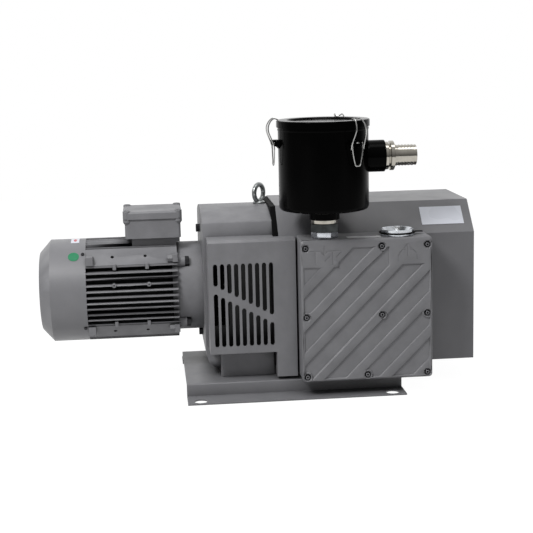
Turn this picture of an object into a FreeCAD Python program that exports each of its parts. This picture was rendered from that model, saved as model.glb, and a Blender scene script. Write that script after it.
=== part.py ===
import FreeCAD, Part
import math
import os

"""Dry claw vacuum pump with its motor, silencer, acoustic hood and inlet filter.

The frame is in millimetres: X runs along the shafts with the motor at -X, Z is up, and the
silencer is at -Y. The origin is the centre of the four base holes, on the floor.
"""

V = FreeCAD.Vector

# Running and seating clearances
RUNNING_CLEARANCE = 0.05
FIT_CLEARANCE = 0.3
ROTOR_END_GAP = 0.4
CUT_MARGIN = 1.0

# Flat sides that stand for a round, by its radius
ROUND_SIDES = ((5.0, 6), (12.0, 8), (26.0, 12), (50.0, 16), (95.0, 24), (150.0, 32))
SLOT_END_SIDES = 3
CORNER_SIDES = 2

# Folded base sheet
BASE_LENGTH = 526.0
BASE_TOP_WIDTH = 334.0
BASE_FLANGE_WIDTH = 66.5
BASE_HEIGHT = 34.0
BASE_SHEET = 4.0
BASE_HOLE_RADIUS = 16.0
BASE_HOLE_EDGE_X = 31.5
BASE_HOLE_EDGE_Y = 21.5

# Shafts
AXIS_Y = 61.0
DRIVE_AXIS_Z = 235.5
CENTRE_DISTANCE = 108.0
SHAFT_RADIUS = 17.5

# Gear housing
HOUSING_LEFT_X = -210.0
HOUSING_LENGTH = 170.0
HOUSING_HALF_WIDTH = 151.0
HOUSING_BOTTOM_Z = 44.0
HOUSING_SHOULDER_Z = 380.0
HOUSING_CREASE_Z = 413.0
HOUSING_CREASE_INSET = 12.0
HOUSING_CREST_Z = 439.5
HOUSING_SCROLL_RADIUS = 48.0
HOUSING_FLOOR_RADIUS = 30.0
HOUSING_WALL = 10.0
HOUSING_EDGE_RADIUS = 6.0
FOOT_PAD_WIDTH = 40.0
FOOT_PAD_INSET = 30.0
FAN_WINDOW_SHARE = 0.8

# Cooling fan behind the air inlet
FAN_RADIUS = 96.0
FAN_WIDTH = 34.0
FAN_HUB_RADIUS = 30.0
FAN_BLADES = 9
FAN_BLADE_THICKNESS = 3.0
FAN_PLATE = 4.0
FAN_CLEARANCE = 8.0

# Synchronising gears
GEAR_MODULE = 4.5
GEAR_WIDTH = 30.0
GEAR_BACKLASH = 0.3
PRESSURE_ANGLE = math.radians(20.0)
GEAR_ROOM = 8.0
GEAR_CHAMBER_GAP = 12.0

# Claw rotors and cylinder
CLAW_RADIUS = 80.0
CLAW_ROOT_CLEARANCE = 0.4
CLAW_TIP_CLEARANCE = 0.5
CLAW_BORE_CLEARANCE = 0.4
CLAW_LENGTH = 190.0
CLAW_ARC = 100.0
CLAW_BACK = 28.0
CLAW_LIGHTENING_RADIUS = 15.0
HOOK_ARCS = 3
CLAW_RIM_SIDES = 12
CLAW_HUB_SIDES = 14
CLAW_BACK_BULGE = 0.52
CYLINDER_WALL = 13.0
CYLINDER_PLATE = 26.0
END_COVER = 30.0
FIN_THICKNESS = 4.0
FIN_PITCH = 36.0
FIN_HEIGHT = 20.0
REAR_FOOT_LENGTH = 46.0

# Shaft bearings and seals
BEARING_RADIUS = 36.0
BEARING_WIDTH = 21.0
SEAL_RADIUS = 30.0
SEAL_WIDTH = 8.0
BEARING_CAP = 8.0

# Motor
MOTOR_RADIUS = 129.0
LANTERN_LENGTH = 62.0
LANTERN_RADIUS = 112.0
LANTERN_WALL = 12.0
BOSS_LENGTH = 9.0
SHIELD_THICKNESS = 13.0
SHIELD_RADIUS = 116.0
FRAME_LENGTH = 212.5
FRAME_BORE_RADIUS = 88.0
FRAME_TUBE_RADIUS = 98.0
MOTOR_FIN_PITCH = 14.6
MOTOR_FIN_THICKNESS = 4.4
SIDE_FINS = 11
TOP_FINS = 9
PAD_HIGH = 111.0
PAD_LOW = 76.0
PAD_HOLE_SPACING = 81.0
PAD_HOLE_RADIUS = 4.5
PAD_HOLE_DEPTH = 14.0
BOSS_RADIUS = 14.0
BOSS_ANGLE = 42.0
BOLT_CIRCLE_RADIUS = 114.0
MOTOR_SHAFT_RADIUS = 19.0
STATOR_LENGTH = 120.0
STATOR_BORE_RADIUS = 56.0
AIR_GAP = 0.6
WINDING_OVERHANG = 26.0
WINDING_RADIUS = 80.0
WINDING_STEP = 4.0
CAGE_OVERHANG = 8.0
MOTOR_BEARING_RADIUS = 40.0
MOTOR_BEARING_WIDTH = 10.0

# Fan cowl
COWL_CYLINDER = 88.2
COWL_CHAMFER = 27.8
COWL_FACE_RADIUS = 98.0
COWL_SHEET = 1.5
COWL_HOLE_HALF = 6.5
COWL_HOLE_RINGS = ((34.0, 8), (66.0, 16))
MOTOR_FAN_RADIUS = 96.0
MOTOR_FAN_WIDTH = 34.0
MOTOR_FAN_BLADES = 8
MOTOR_FAN_HUB_WALL = 9.0
MOTOR_FAN_PLATE = 3.0
MOTOR_FAN_GAP = 14.0
COWL_SCREW_ANGLE = 38.0
COWL_SCREW_RADIUS = 2.5
COWL_SCREW_LENGTH = 12.0
COWL_SCREW_HEAD_RADIUS = 4.5
COWL_SCREW_HEAD_HEIGHT = 2.4

# Terminal box
TERMINAL_X = -329.0
TERMINAL_LENGTH = 138.0
TERMINAL_DEPTH = 138.0
TERMINAL_BOTTOM_Z = 369.5
TERMINAL_JOINT_Z = 418.0
TERMINAL_LID_THICKNESS = 19.0
TERMINAL_LID_OVERHANG = 4.0
TERMINAL_WALL = 5.0
TERMINAL_NECK_LENGTH = 106.0
TERMINAL_NECK_Z = 357.0
TERMINAL_CORNER = 8.0
TERMINAL_LID_CORNER = 12.0
TERMINAL_LID_CHAMFER = 4.0
TERMINAL_POST_INSET = 9.0
TERMINAL_POST_RADIUS = 7.0
TERMINAL_SCREW_RADIUS = 2.5
TERMINAL_SCREW_HEAD_RADIUS = 4.6
TERMINAL_SCREW_HEAD_HEIGHT = 3.5
TERMINAL_SCREW_SINK = 5.0
TERMINAL_SCREW_DEPTH = 12.0
BOARD_LENGTH = 68.0
BOARD_WIDTH = 44.0
BOARD_THICKNESS = 12.0
STUD_RADIUS = 3.0
STUD_HEIGHT = 16.0
STUD_PITCH_X = 22.0
STUD_PITCH_Y = 24.0
ENTRY_RADIUS = 16.0
ENTRY_PITCH = 60.0
ENTRY_PLUG_RIM = 4.0
ENTRY_PLUG_HEIGHT = 5.0

# Shaft coupling
COUPLING_RADIUS = 45.0
COUPLING_HUB_LENGTH = 16.0
SPIDER_THICKNESS = 12.0
COUPLING_JAWS = 3
JAW_INNER_RADIUS = 26.0
JAW_SPREAD = 38.0
SPIDER_SPREAD = 20.0
SPIDER_RING_GAP = 2.5

# Air inlet cover
GRILLE_LEFT_X = -202.5
GRILLE_REACH = 48.5
GRILLE_FRONT_Y = -160.0
GRILLE_BOTTOM_Z = 103.0
GRILLE_STEP = 1.0
GRILLE_FOOT_Z = 41.0
GRILLE_WALL = 4.0
GRILLE_HOOD_GAP = 3.0
GRILLE_EDGE = 6.0
GRILLE_SLOTS = 9
GRILLE_SLOT_PITCH = 16.75
GRILLE_SLOT_WIDTH = 10.4
GRILLE_FIRST_SLOT = 17.0
GRILLE_SLOT_TOP_Z = 324.0
GRILLE_SLOT_BOTTOM_Z = 120.0
GRILLE_BAR_START_Z = 260.4
GRILLE_BAR_DROP = 9.24
GRILLE_BAR_HEIGHT = 18.0

# Front foot of the housing
FRONT_FOOT_STEP = 1.0
FRONT_FOOT_LENGTH = 134.0
FRONT_FOOT_DEPTH = 20.0
FRONT_FOOT_GAP = 2.0
FRONT_FOOT_RADIUS = 5.0

# Acoustic hood
HOOD_GAP = 13.0
HOOD_LENGTH = 482.5
HOOD_SHEET = 2.0
HOOD_HALF_WIDTH = 179.7
HOOD_TOP_HALF_WIDTH = 108.1
HOOD_BOTTOM_Z = 54.4
HOOD_KNEE_Z = 373.5
HOOD_TOP_Z = 445.6
SEAL_LIP = 8.0
SEAL_WALL = 8.0
SEAL_FLANGE = 6.0

# Silencer
SILENCER_GAP = 4.4
SILENCER_LENGTH = 315.0
SILENCER_FRONT_Y = -221.6
SILENCER_BACK_GAP = 4.0
SILENCER_BOTTOM_Z = 39.5
SILENCER_TOP_Z = 381.5
SILENCER_WALL = 8.0
SILENCER_CORNER = 7.0
COVER_CHAMFER = 3.5
COVER_THICKNESS = 15.0
GASKET_THICKNESS = 1.5
POCKET_DEPTH = 4.0
POCKET_PITCH = 81.7
POCKET_WIDTH = 48.0
POCKET_FIRST = 277.5
POCKET_COUNT = 7
POCKET_MARGIN = 7.5
SYMBOL_HEIGHT = 59.0
INLET_SYMBOL_WIDTH = 84.0
OUTLET_SYMBOL_WIDTH = 98.0
SCREW_INSET = 12.0
SCREW_CLEAR_RADIUS = 13.5
CAP_HEAD_RADIUS = 6.5
CAP_HEAD_HEIGHT = 8.0
CAP_SHANK_RADIUS = 4.0
CAP_SHANK_DEPTH = 20.0
GASKET_INSET = 1.0
COUNTERBORE_CLEARANCE = 1.2
COUNTERBORE_DEPTH = 8.5
MIDDLE_SCREW_X = 193.7
LOWER_SCREW_X = 157.5
MIDDLE_SCREW_Z = 157.5
POST_RADIUS = 10.0
PORT_RADIUS = 30.0
PORT_WALL = 6.0
INLET_PORT_STEP = 94.0
INLET_PORT_Z = 300.0
OUTLET_PORT_STEP = 154.0
OUTLET_PORT_Z = 180.0

# Inlet fitting, check valve and filter
FILTER_STEP = 64.5
FILTER_Y = -172.2
INLET_BORE_RADIUS = 25.0
INLET_SPIGOT_RADIUS = 30.0
HEX_ACROSS_FLATS = 58.0
LOWER_HEX_HEIGHT = 15.0
HEX_TURN = 35.0
UNION_TURN = 20.0
UNION_HEIGHT = 20.0
UNION_RADIUS = 36.0
COLLAR_HEIGHT = 9.5
COLLAR_RADIUS = 33.0
NECK_RADIUS = 36.5
NECK_WALL = 5.0
NECK_LENGTH = 24.0
CANISTER_RADIUS = 106.2
CANISTER_HEIGHT = 205.0
CANISTER_SHEET = 2.0
CANISTER_EDGE = 8.0
LID_RADIUS = 110.0
LID_SKIRT = 10.0
LID_CROWN = 6.5
LID_RING_RADIUS = 86.0
CARTRIDGE_RADIUS = 72.0
CARTRIDGE_BORE = 46.0
CARTRIDGE_CAP = 6.0
SOCKET_RADIUS = 37.3
SOCKET_BORE = 30.0
SOCKET_REACH = 144.6
SOCKET_Z = 571.5
NOZZLE_PLUG = 16.0
NOZZLE_HEX_RADIUS = 35.0
NOZZLE_HEX_LENGTH = 14.0
NOZZLE_GROOVE = 4.0
NOZZLE_FLANGE_RADIUS = 33.0
NOZZLE_FLANGE_LENGTH = 8.0
NOZZLE_RADIUS = 25.0
NOZZLE_BORE = 21.0
NOZZLE_LENGTH = 53.6
NOZZLE_BARBS = 4
NOZZLE_BARB_DEPTH = 1.6
VALVE_PLATE_RADIUS = 28.0
VALVE_PLATE_THICKNESS = 3.0
VALVE_STEM_RADIUS = 4.0
VALVE_STEM_LENGTH = 30.0
VALVE_GUIDE_HEIGHT = 8.0
VALVE_GUIDE_WALL = 4.0
VALVE_COLLAR_HEIGHT = 3.0
VALVE_COLLAR_RADIUS = 9.5
SPRING_WIRE = 0.9
SPRING_RADIUS = 7.0
SPRING_TURNS = 4
SPRING_RUNS = 10

# Filter clips
CLIP_ANGLES = {"left": 183.0, "front": 303.0, "back": 63.0}
CLIP_PIVOT_RADIUS = 119.0
CLIP_PIVOT_Z = 611.0
CLIP_CRANK = 13.0
CLIP_WIRE = 1.5
CLIP_HALF_WIDTH = 15.5
CLIP_TAIL = 54.0
CLIP_TAIL_HALF_WIDTH = 9.0
CLIP_BULGE_RADIUS = 133.5
CLIP_BULGE_RISE = 30.0
CLIP_HOOK_HALF_WIDTH = 9.0
BRACKET_SHEET = 3.0
BRACKET_HALF_WIDTH = 10.0
BRACKET_HEIGHT = 20.0

# Outlet fitting
OUTLET_STEP = 239.6
OUTLET_SPIGOT_RADIUS = 31.0
OUTLET_WALL = 3.0
OUTLET_NUT_RADIUS = 41.0
OUTLET_NUT_HEIGHT = 5.0
OUTLET_SEAL_RADIUS = 43.3
OUTLET_SEAL_HEIGHT = 2.5
OUTLET_RING_RADIUS = 39.0
OUTLET_RING_HEIGHT = 7.5
OUTLET_RING_EDGE = 2.0

# Lifting eye
EYE_INSET = 17.0
EYE_SEAT = 0.5
EYE_RING_RADIUS = 21.0
EYE_SECTION_RADIUS = 6.0
EYE_COLLAR_RADIUS = 15.0
EYE_COLLAR_HEIGHT = 6.0
EYE_SHANK_RADIUS = 6.0
EYE_SHANK_LENGTH = 18.0
EYE_TURN = 52.0

# Hex bolts and oil fittings
BOLT_ACROSS_FLATS = 22.0
BOLT_HEAD_HEIGHT = 10.0
BOLT_SHANK_RADIUS = 7.0
PLATE_BOLT_ACROSS_FLATS = 17.6
PLATE_BOLT_RISE = 146.5
PLATE_BOLT_FALL = 122.0
SIGHT_GLASS_RADIUS = 20.0
SIGHT_GLASS_REACH = 9.0
SIGHT_PORT_RADIUS = 16.0
SIGHT_WINDOW_RADIUS = 12.8
SIGHT_WINDOW_DEPTH = 3.0
OIL_PORT_RADIUS = 8.8
OIL_PLUG_ACROSS_FLATS = 22.0
OIL_PLUG_HEIGHT = 10.0

# Places worked out from the sizes above
DRIVEN_AXIS_Z = DRIVE_AXIS_Z + CENTRE_DISTANCE
HOUSING_RIGHT_X = HOUSING_LEFT_X + HOUSING_LENGTH
HOUSING_FRONT_Y = AXIS_Y - HOUSING_HALF_WIDTH
EYE_X = HOUSING_RIGHT_X - EYE_INSET
EYE_SEAT_Z = HOUSING_CREST_Z - EYE_SEAT
GRILLE_RIGHT_X = HOUSING_RIGHT_X + GRILLE_REACH
GRILLE_FOOT_X = HOUSING_RIGHT_X - GRILLE_STEP
SILENCER_LEFT_X = GRILLE_RIGHT_X + SILENCER_GAP
FILTER_X = SILENCER_LEFT_X + FILTER_STEP
OUTLET_X = SILENCER_LEFT_X + OUTLET_STEP
HOOD_LEFT_X = HOUSING_RIGHT_X + HOOD_GAP
HOOD_RIGHT_X = HOOD_LEFT_X + HOOD_LENGTH
HOOD_FRONT_Y = AXIS_Y - HOOD_HALF_WIDTH
GEAR_TEETH = round(CENTRE_DISTANCE / GEAR_MODULE)
GEAR_PITCH_RADIUS = CENTRE_DISTANCE / 2
CLAW_ROOT_RADIUS = CENTRE_DISTANCE - CLAW_RADIUS - CLAW_ROOT_CLEARANCE
LANTERN_LEFT_X = HOUSING_LEFT_X - LANTERN_LENGTH
FRAME_RIGHT_X = LANTERN_LEFT_X - SHIELD_THICKNESS
FRAME_LEFT_X = FRAME_RIGHT_X - FRAME_LENGTH
COWL_EDGE_X = FRAME_LEFT_X - COWL_CYLINDER
COWL_FACE_X = COWL_EDGE_X - COWL_CHAMFER
STATOR_RIGHT_X = FRAME_RIGHT_X - (FRAME_LENGTH - STATOR_LENGTH) / 2
STATOR_LEFT_X = STATOR_RIGHT_X - STATOR_LENGTH
CYLINDER_LEFT_X = HOUSING_RIGHT_X + CYLINDER_PLATE
CYLINDER_LENGTH = CLAW_LENGTH + 2 * ROTOR_END_GAP
CYLINDER_RIGHT_X = CYLINDER_LEFT_X + CYLINDER_LENGTH
COVER_RIGHT_X = CYLINDER_RIGHT_X + END_COVER
FAN_LEFT_X = HOUSING_LEFT_X + HOUSING_WALL + FAN_CLEARANCE
FAN_ROOM_RIGHT_X = FAN_LEFT_X + FAN_WIDTH + FAN_CLEARANCE
GEAR_ROOM_LEFT_X = FAN_ROOM_RIGHT_X + GEAR_CHAMBER_GAP
BEARING_LEFT_X = HOUSING_RIGHT_X - BEARING_WIDTH
GEAR_RIGHT_X = BEARING_LEFT_X - GEAR_ROOM
GEAR_LEFT_X = GEAR_RIGHT_X - GEAR_WIDTH
SILENCER_RIGHT_X = SILENCER_LEFT_X + SILENCER_LENGTH
SILENCER_BACK_Y = HOOD_FRONT_Y - SILENCER_BACK_GAP
COVER_BACK_Y = SILENCER_FRONT_Y + COVER_THICKNESS
BODY_FRONT_Y = COVER_BACK_Y + GASKET_THICKNESS
UNION_Z = SILENCER_TOP_Z + LOWER_HEX_HEIGHT
COLLAR_Z = UNION_Z + UNION_HEIGHT
NECK_Z = COLLAR_Z + COLLAR_HEIGHT
CANISTER_Z = NECK_Z + NECK_LENGTH
CANISTER_TOP_Z = CANISTER_Z + CANISTER_HEIGHT
LID_TOP_Z = CANISTER_TOP_Z + LID_CROWN
BASE_RISER_Y = BASE_TOP_WIDTH / 2


# Basic shapes

def box(x0, x1, y0, y1, z0, z1):
    """Return an upright box between two corners."""
    return Part.makeBox(x1 - x0, y1 - y0, z1 - z0, V(x0, y0, z0))


def polygon_face(points):
    """Return the flat face inside a closed run of straight edges."""
    return Part.Face(Part.makePolygon(points + [points[0]]))


def prism_x(outline, x0, x1):
    """Extrude a (y, z) outline along X."""
    return polygon_face([V(x0, y, z) for y, z in outline]).extrude(V(x1 - x0, 0, 0))


def prism_y(outline, y0, y1):
    """Extrude an (x, z) outline along Y."""
    return polygon_face([V(x, y0, z) for x, z in outline]).extrude(V(0, y1 - y0, 0))


def prism_z(outline, z0, z1):
    """Extrude an (x, y) outline along Z."""
    return polygon_face([V(x, y, z0) for x, y in outline]).extrude(V(0, 0, z1 - z0))


def side_count(radius):
    """Return how many flat sides stand for a round of a radius."""
    for limit, sides in ROUND_SIDES:
        if radius < limit:
            return sides
    return ROUND_SIDES[-1][1]


def circle_points(radius, u, v, around=False):
    """Return the corners of a round drawn with flat sides.

    Its corners lie on the circle, or with around its flats do, as in a bore that something turns in.
    """
    sides = side_count(radius)
    reach = radius / math.cos(math.pi / sides) if around else radius
    angles = [math.pi * (2 * k + 1) / sides for k in range(sides)]
    return [(u + reach * math.cos(a), v + reach * math.sin(a)) for a in angles]


def rod_x(radius, x0, x1, y=AXIS_Y, z=DRIVE_AXIS_Z):
    """Return a round bar along X, on the drive axis unless another is given."""
    return prism_x(circle_points(radius, y, z), x0, x1)


def rod_y(radius, y0, y1, x, z):
    """Return a round bar along Y."""
    return prism_y(circle_points(radius, x, z), y0, y1)


def rod_z(radius, z0, z1, x, y):
    """Return a round bar along Z."""
    return prism_z(circle_points(radius, x, y), z0, z1)


def shaft_x(radius, x0, x1, z=DRIVE_AXIS_Z):
    """Return a true round shaft along X."""
    return Part.makeCylinder(radius, x1 - x0, V(x0, AXIS_Y, z), V(1, 0, 0))


def rod_along(radius, length, start, direction):
    """Return a round bar with flat sides from a point in any direction."""
    bar = prism_z(circle_points(radius, 0, 0), 0, length)
    bar.Placement = FreeCAD.Placement(start, FreeCAD.Rotation(V(0, 0, 1), direction))
    return bar


def bore_x(radius, x0, x1, y=AXIS_Y, z=DRIVE_AXIS_Z):
    """Return the space of a bore along X that takes a shaft or rotor of the radius."""
    return prism_x(circle_points(radius, y, z, True), x0, x1)


def ring_x(outer, inner, x0, x1, y=AXIS_Y, z=DRIVE_AXIS_Z):
    """Return a flat ring along X whose bore takes a shaft of the inner radius."""
    return rod_x(outer, x0, x1, y, z).cut(bore_x(inner, x0 - CUT_MARGIN, x1 + CUT_MARGIN, y, z))


def hexagon_x(across_flats, x0, x1, y, z):
    """Return a hexagonal bar along X, with a corner up."""
    corner = across_flats / math.sqrt(3)
    angles = [math.radians(90 + 60 * k) for k in range(6)]
    return prism_x([(y + corner * math.cos(a), z + corner * math.sin(a)) for a in angles], x0, x1)


def hexagon_z(across_flats, z0, z1, x, y, turn=0.0):
    """Return a hexagonal bar along Z."""
    corner = across_flats / math.sqrt(3)
    angles = [math.radians(turn + 60 * k) for k in range(6)]
    ring = [V(x + corner * math.cos(a), y + corner * math.sin(a), z0) for a in angles]
    return polygon_face(ring).extrude(V(0, 0, z1 - z0))


def turned(profile, place):
    """Turn an (r, along) profile into a solid with flat sides.

    Its place function gives the point at a radius, an angle and a distance along the axis.
    """
    sides = side_count(max(r for r, _ in profile))
    angles = [math.pi * (2 * k + 1) / sides for k in range(sides)]
    faces = []
    for (r0, h0), (r1, h1) in zip(profile, profile[1:] + profile[:1]):
        if r0 == 0 and r1 == 0:
            continue
        for k in range(sides):
            a, b = angles[k], angles[(k + 1) % sides]
            corners = [place(r0, a, h0), place(r1, a, h1), place(r1, b, h1), place(r0, b, h0)]
            if r0 == 0:
                corners = corners[:3]
            elif r1 == 0:
                corners = [corners[0], corners[1], corners[3]]
            faces.append(polygon_face(corners))
    solid = Part.Solid(Part.Shell(faces)).removeSplitter()
    return solid if solid.Volume > 0 else solid.reversed()


def turned_z(profile, x, y):
    """Turn an (r, z) profile about the upright line through x and y."""
    return turned(profile, lambda r, a, h: V(x + r * math.cos(a), y + r * math.sin(a), h))


def turned_x(profile, y=AXIS_Y, z=DRIVE_AXIS_Z):
    """Turn an (x, r) profile about the line along X through y and z."""
    rows = [(r, x) for x, r in profile]
    return turned(rows, lambda r, a, h: V(h, y + r * math.cos(a), z + r * math.sin(a)))


def around_axis(shape, angle, y=AXIS_Y, z=DRIVE_AXIS_Z):
    """Return a copy turned by an angle in degrees about a line along X."""
    copy = shape.copy()
    copy.rotate(V(0, y, z), V(1, 0, 0), angle)
    return copy


def around_filter(shape, angle):
    """Return a copy turned by an angle in degrees about the filter's upright axis."""
    copy = shape.copy()
    copy.rotate(V(FILTER_X, FILTER_Y, 0), V(0, 0, 1), angle)
    return copy


def rounded(shape, radius, wanted):
    """Round the straight edges that a test picks by their two end points."""
    edges = [e for e in shape.Edges if len(e.Vertexes) == 2
             and wanted(e.Vertexes[0].Point, e.Vertexes[1].Point)]
    return shape.makeFillet(radius, edges)


def chamfered(shape, width, wanted):
    """Bevel the straight edges that a test picks by their two end points."""
    edges = [e for e in shape.Edges if len(e.Vertexes) == 2
             and wanted(e.Vertexes[0].Point, e.Vertexes[1].Point)]
    return shape.makeChamfer(width, edges)


def rounded_rectangle(u0, u1, v0, v1, radius):
    """Return the corners of a rectangle whose own corners are rounded with flat sides."""
    points = []
    for cu, cv, start in ((u1 - radius, v1 - radius, 0), (u0 + radius, v1 - radius, 90),
                          (u0 + radius, v0 + radius, 180), (u1 - radius, v0 + radius, 270)):
        for k in range(CORNER_SIDES + 1):
            a = math.radians(start + 90 * k / CORNER_SIDES)
            points.append((cu + radius * math.cos(a), cv + radius * math.sin(a)))
    return points


def slot_y(x, z0, z1, width, y0, y1):
    """Return a round-ended upright slot, cut along Y."""
    half = width / 2
    outline = []
    for middle, start in ((z1 - half, 0), (z0 + half, 180)):
        for k in range(SLOT_END_SIDES + 1):
            a = math.radians(start + 180 * k / SLOT_END_SIDES)
            outline.append((x + half * math.cos(a), middle + half * math.sin(a)))
    return prism_y(outline, y0, y1)


def group(shapes):
    """Keep several separate solids together as one piece of the list."""
    return Part.makeCompound(shapes)


# Base

def base_frame():
    """One sheet folded to a flat top, two risers and two drilled flanges."""
    half = BASE_LENGTH / 2
    riser = BASE_RISER_Y
    edge = riser + BASE_FLANGE_WIDTH
    section = [(-edge, 0), (-riser + BASE_SHEET, 0), (-riser + BASE_SHEET, BASE_HEIGHT - BASE_SHEET),
               (riser - BASE_SHEET, BASE_HEIGHT - BASE_SHEET), (riser - BASE_SHEET, 0), (edge, 0),
               (edge, BASE_SHEET), (riser, BASE_SHEET), (riser, BASE_HEIGHT),
               (-riser, BASE_HEIGHT), (-riser, BASE_SHEET), (-edge, BASE_SHEET)]
    sheet = prism_x(section, -half, half)
    sheet = rounded(sheet, BASE_SHEET - 1.0, lambda a, b: abs(a.x - b.x) > half
                    and min(a.z, b.z) > BASE_HEIGHT - 0.1)
    for side_x in (-1, 1):
        for side_y in (-1, 1):
            x = side_x * (half - BASE_HOLE_EDGE_X)
            y = side_y * (edge - BASE_HOLE_EDGE_Y)
            sheet = sheet.cut(Part.makeCylinder(BASE_HOLE_RADIUS, BASE_SHEET + 2 * CUT_MARGIN,
                                                V(x, y, -CUT_MARGIN)))
    return sheet


def front_foot():
    """Cast foot that carries the front of the gear housing on the base."""
    x1 = HOUSING_RIGHT_X - FRONT_FOOT_STEP
    x0 = x1 - FRONT_FOOT_LENGTH
    y0 = HOUSING_FRONT_Y - FRONT_FOOT_DEPTH
    foot = box(x0, x1, y0, HOUSING_FRONT_Y, BASE_HEIGHT, GRILLE_BOTTOM_Z - FRONT_FOOT_GAP)
    return rounded(foot, FRONT_FOOT_RADIUS, lambda a, b: abs(a.z - b.z) > 1
                   and max(a.y, b.y) < y0 + 0.1)


# Gear housing

def housing_outline(inset=0.0):
    """Return the (y, z) outline of the gear housing: crowned top, leaning band, round floor."""
    half = HOUSING_HALF_WIDTH - inset
    crease = half - HOUSING_CREASE_INSET
    bottom = HOUSING_BOTTOM_Z + inset
    crest = HOUSING_CREST_Z - inset
    crease_z = HOUSING_CREASE_Z - inset
    radius = HOUSING_FLOOR_RADIUS
    corner = radius * (1 - math.sqrt(0.5))

    def at(y, z):
        return V(0, AXIS_Y + y, z)

    floor = Part.LineSegment(at(-half + radius, bottom), at(half - radius, bottom))
    back_corner = Part.Arc(at(half - radius, bottom), at(half - corner, bottom + corner),
                           at(half, bottom + radius))
    back = Part.LineSegment(at(half, bottom + radius), at(half, HOUSING_SHOULDER_Z))
    back_band = Part.LineSegment(at(half, HOUSING_SHOULDER_Z), at(crease, crease_z))
    crown = Part.Arc(at(crease, crease_z), at(0, crest), at(-crease, crease_z))
    front_band = Part.LineSegment(at(-crease, crease_z), at(-half, HOUSING_SHOULDER_Z))
    front = Part.LineSegment(at(-half, HOUSING_SHOULDER_Z), at(-half, bottom + radius))
    front_corner = Part.Arc(at(-half, bottom + radius), at(-half + corner, bottom + corner),
                            at(-half + radius, bottom))
    edges = [floor, back_corner, back, back_band, crown, front_band, front, front_corner]
    return Part.Wire([edge.toShape() for edge in edges])


def housing_prism(inset, x0, x1):
    """Extrude the housing outline, drawn inwards by an inset, between two places along X."""
    solid = Part.Face(housing_outline(inset)).extrude(V(x1 - x0, 0, 0))
    solid.translate(V(x0, 0, 0))
    return solid


def housing_section(casting, x0, x1):
    """Return what a casting has between two places along X."""
    return casting.common(box(x0, x1, HOUSING_FRONT_Y - CUT_MARGIN, AXIS_Y + HOUSING_HALF_WIDTH + CUT_MARGIN,
                              0, HOUSING_CREST_Z + CUT_MARGIN))


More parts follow.
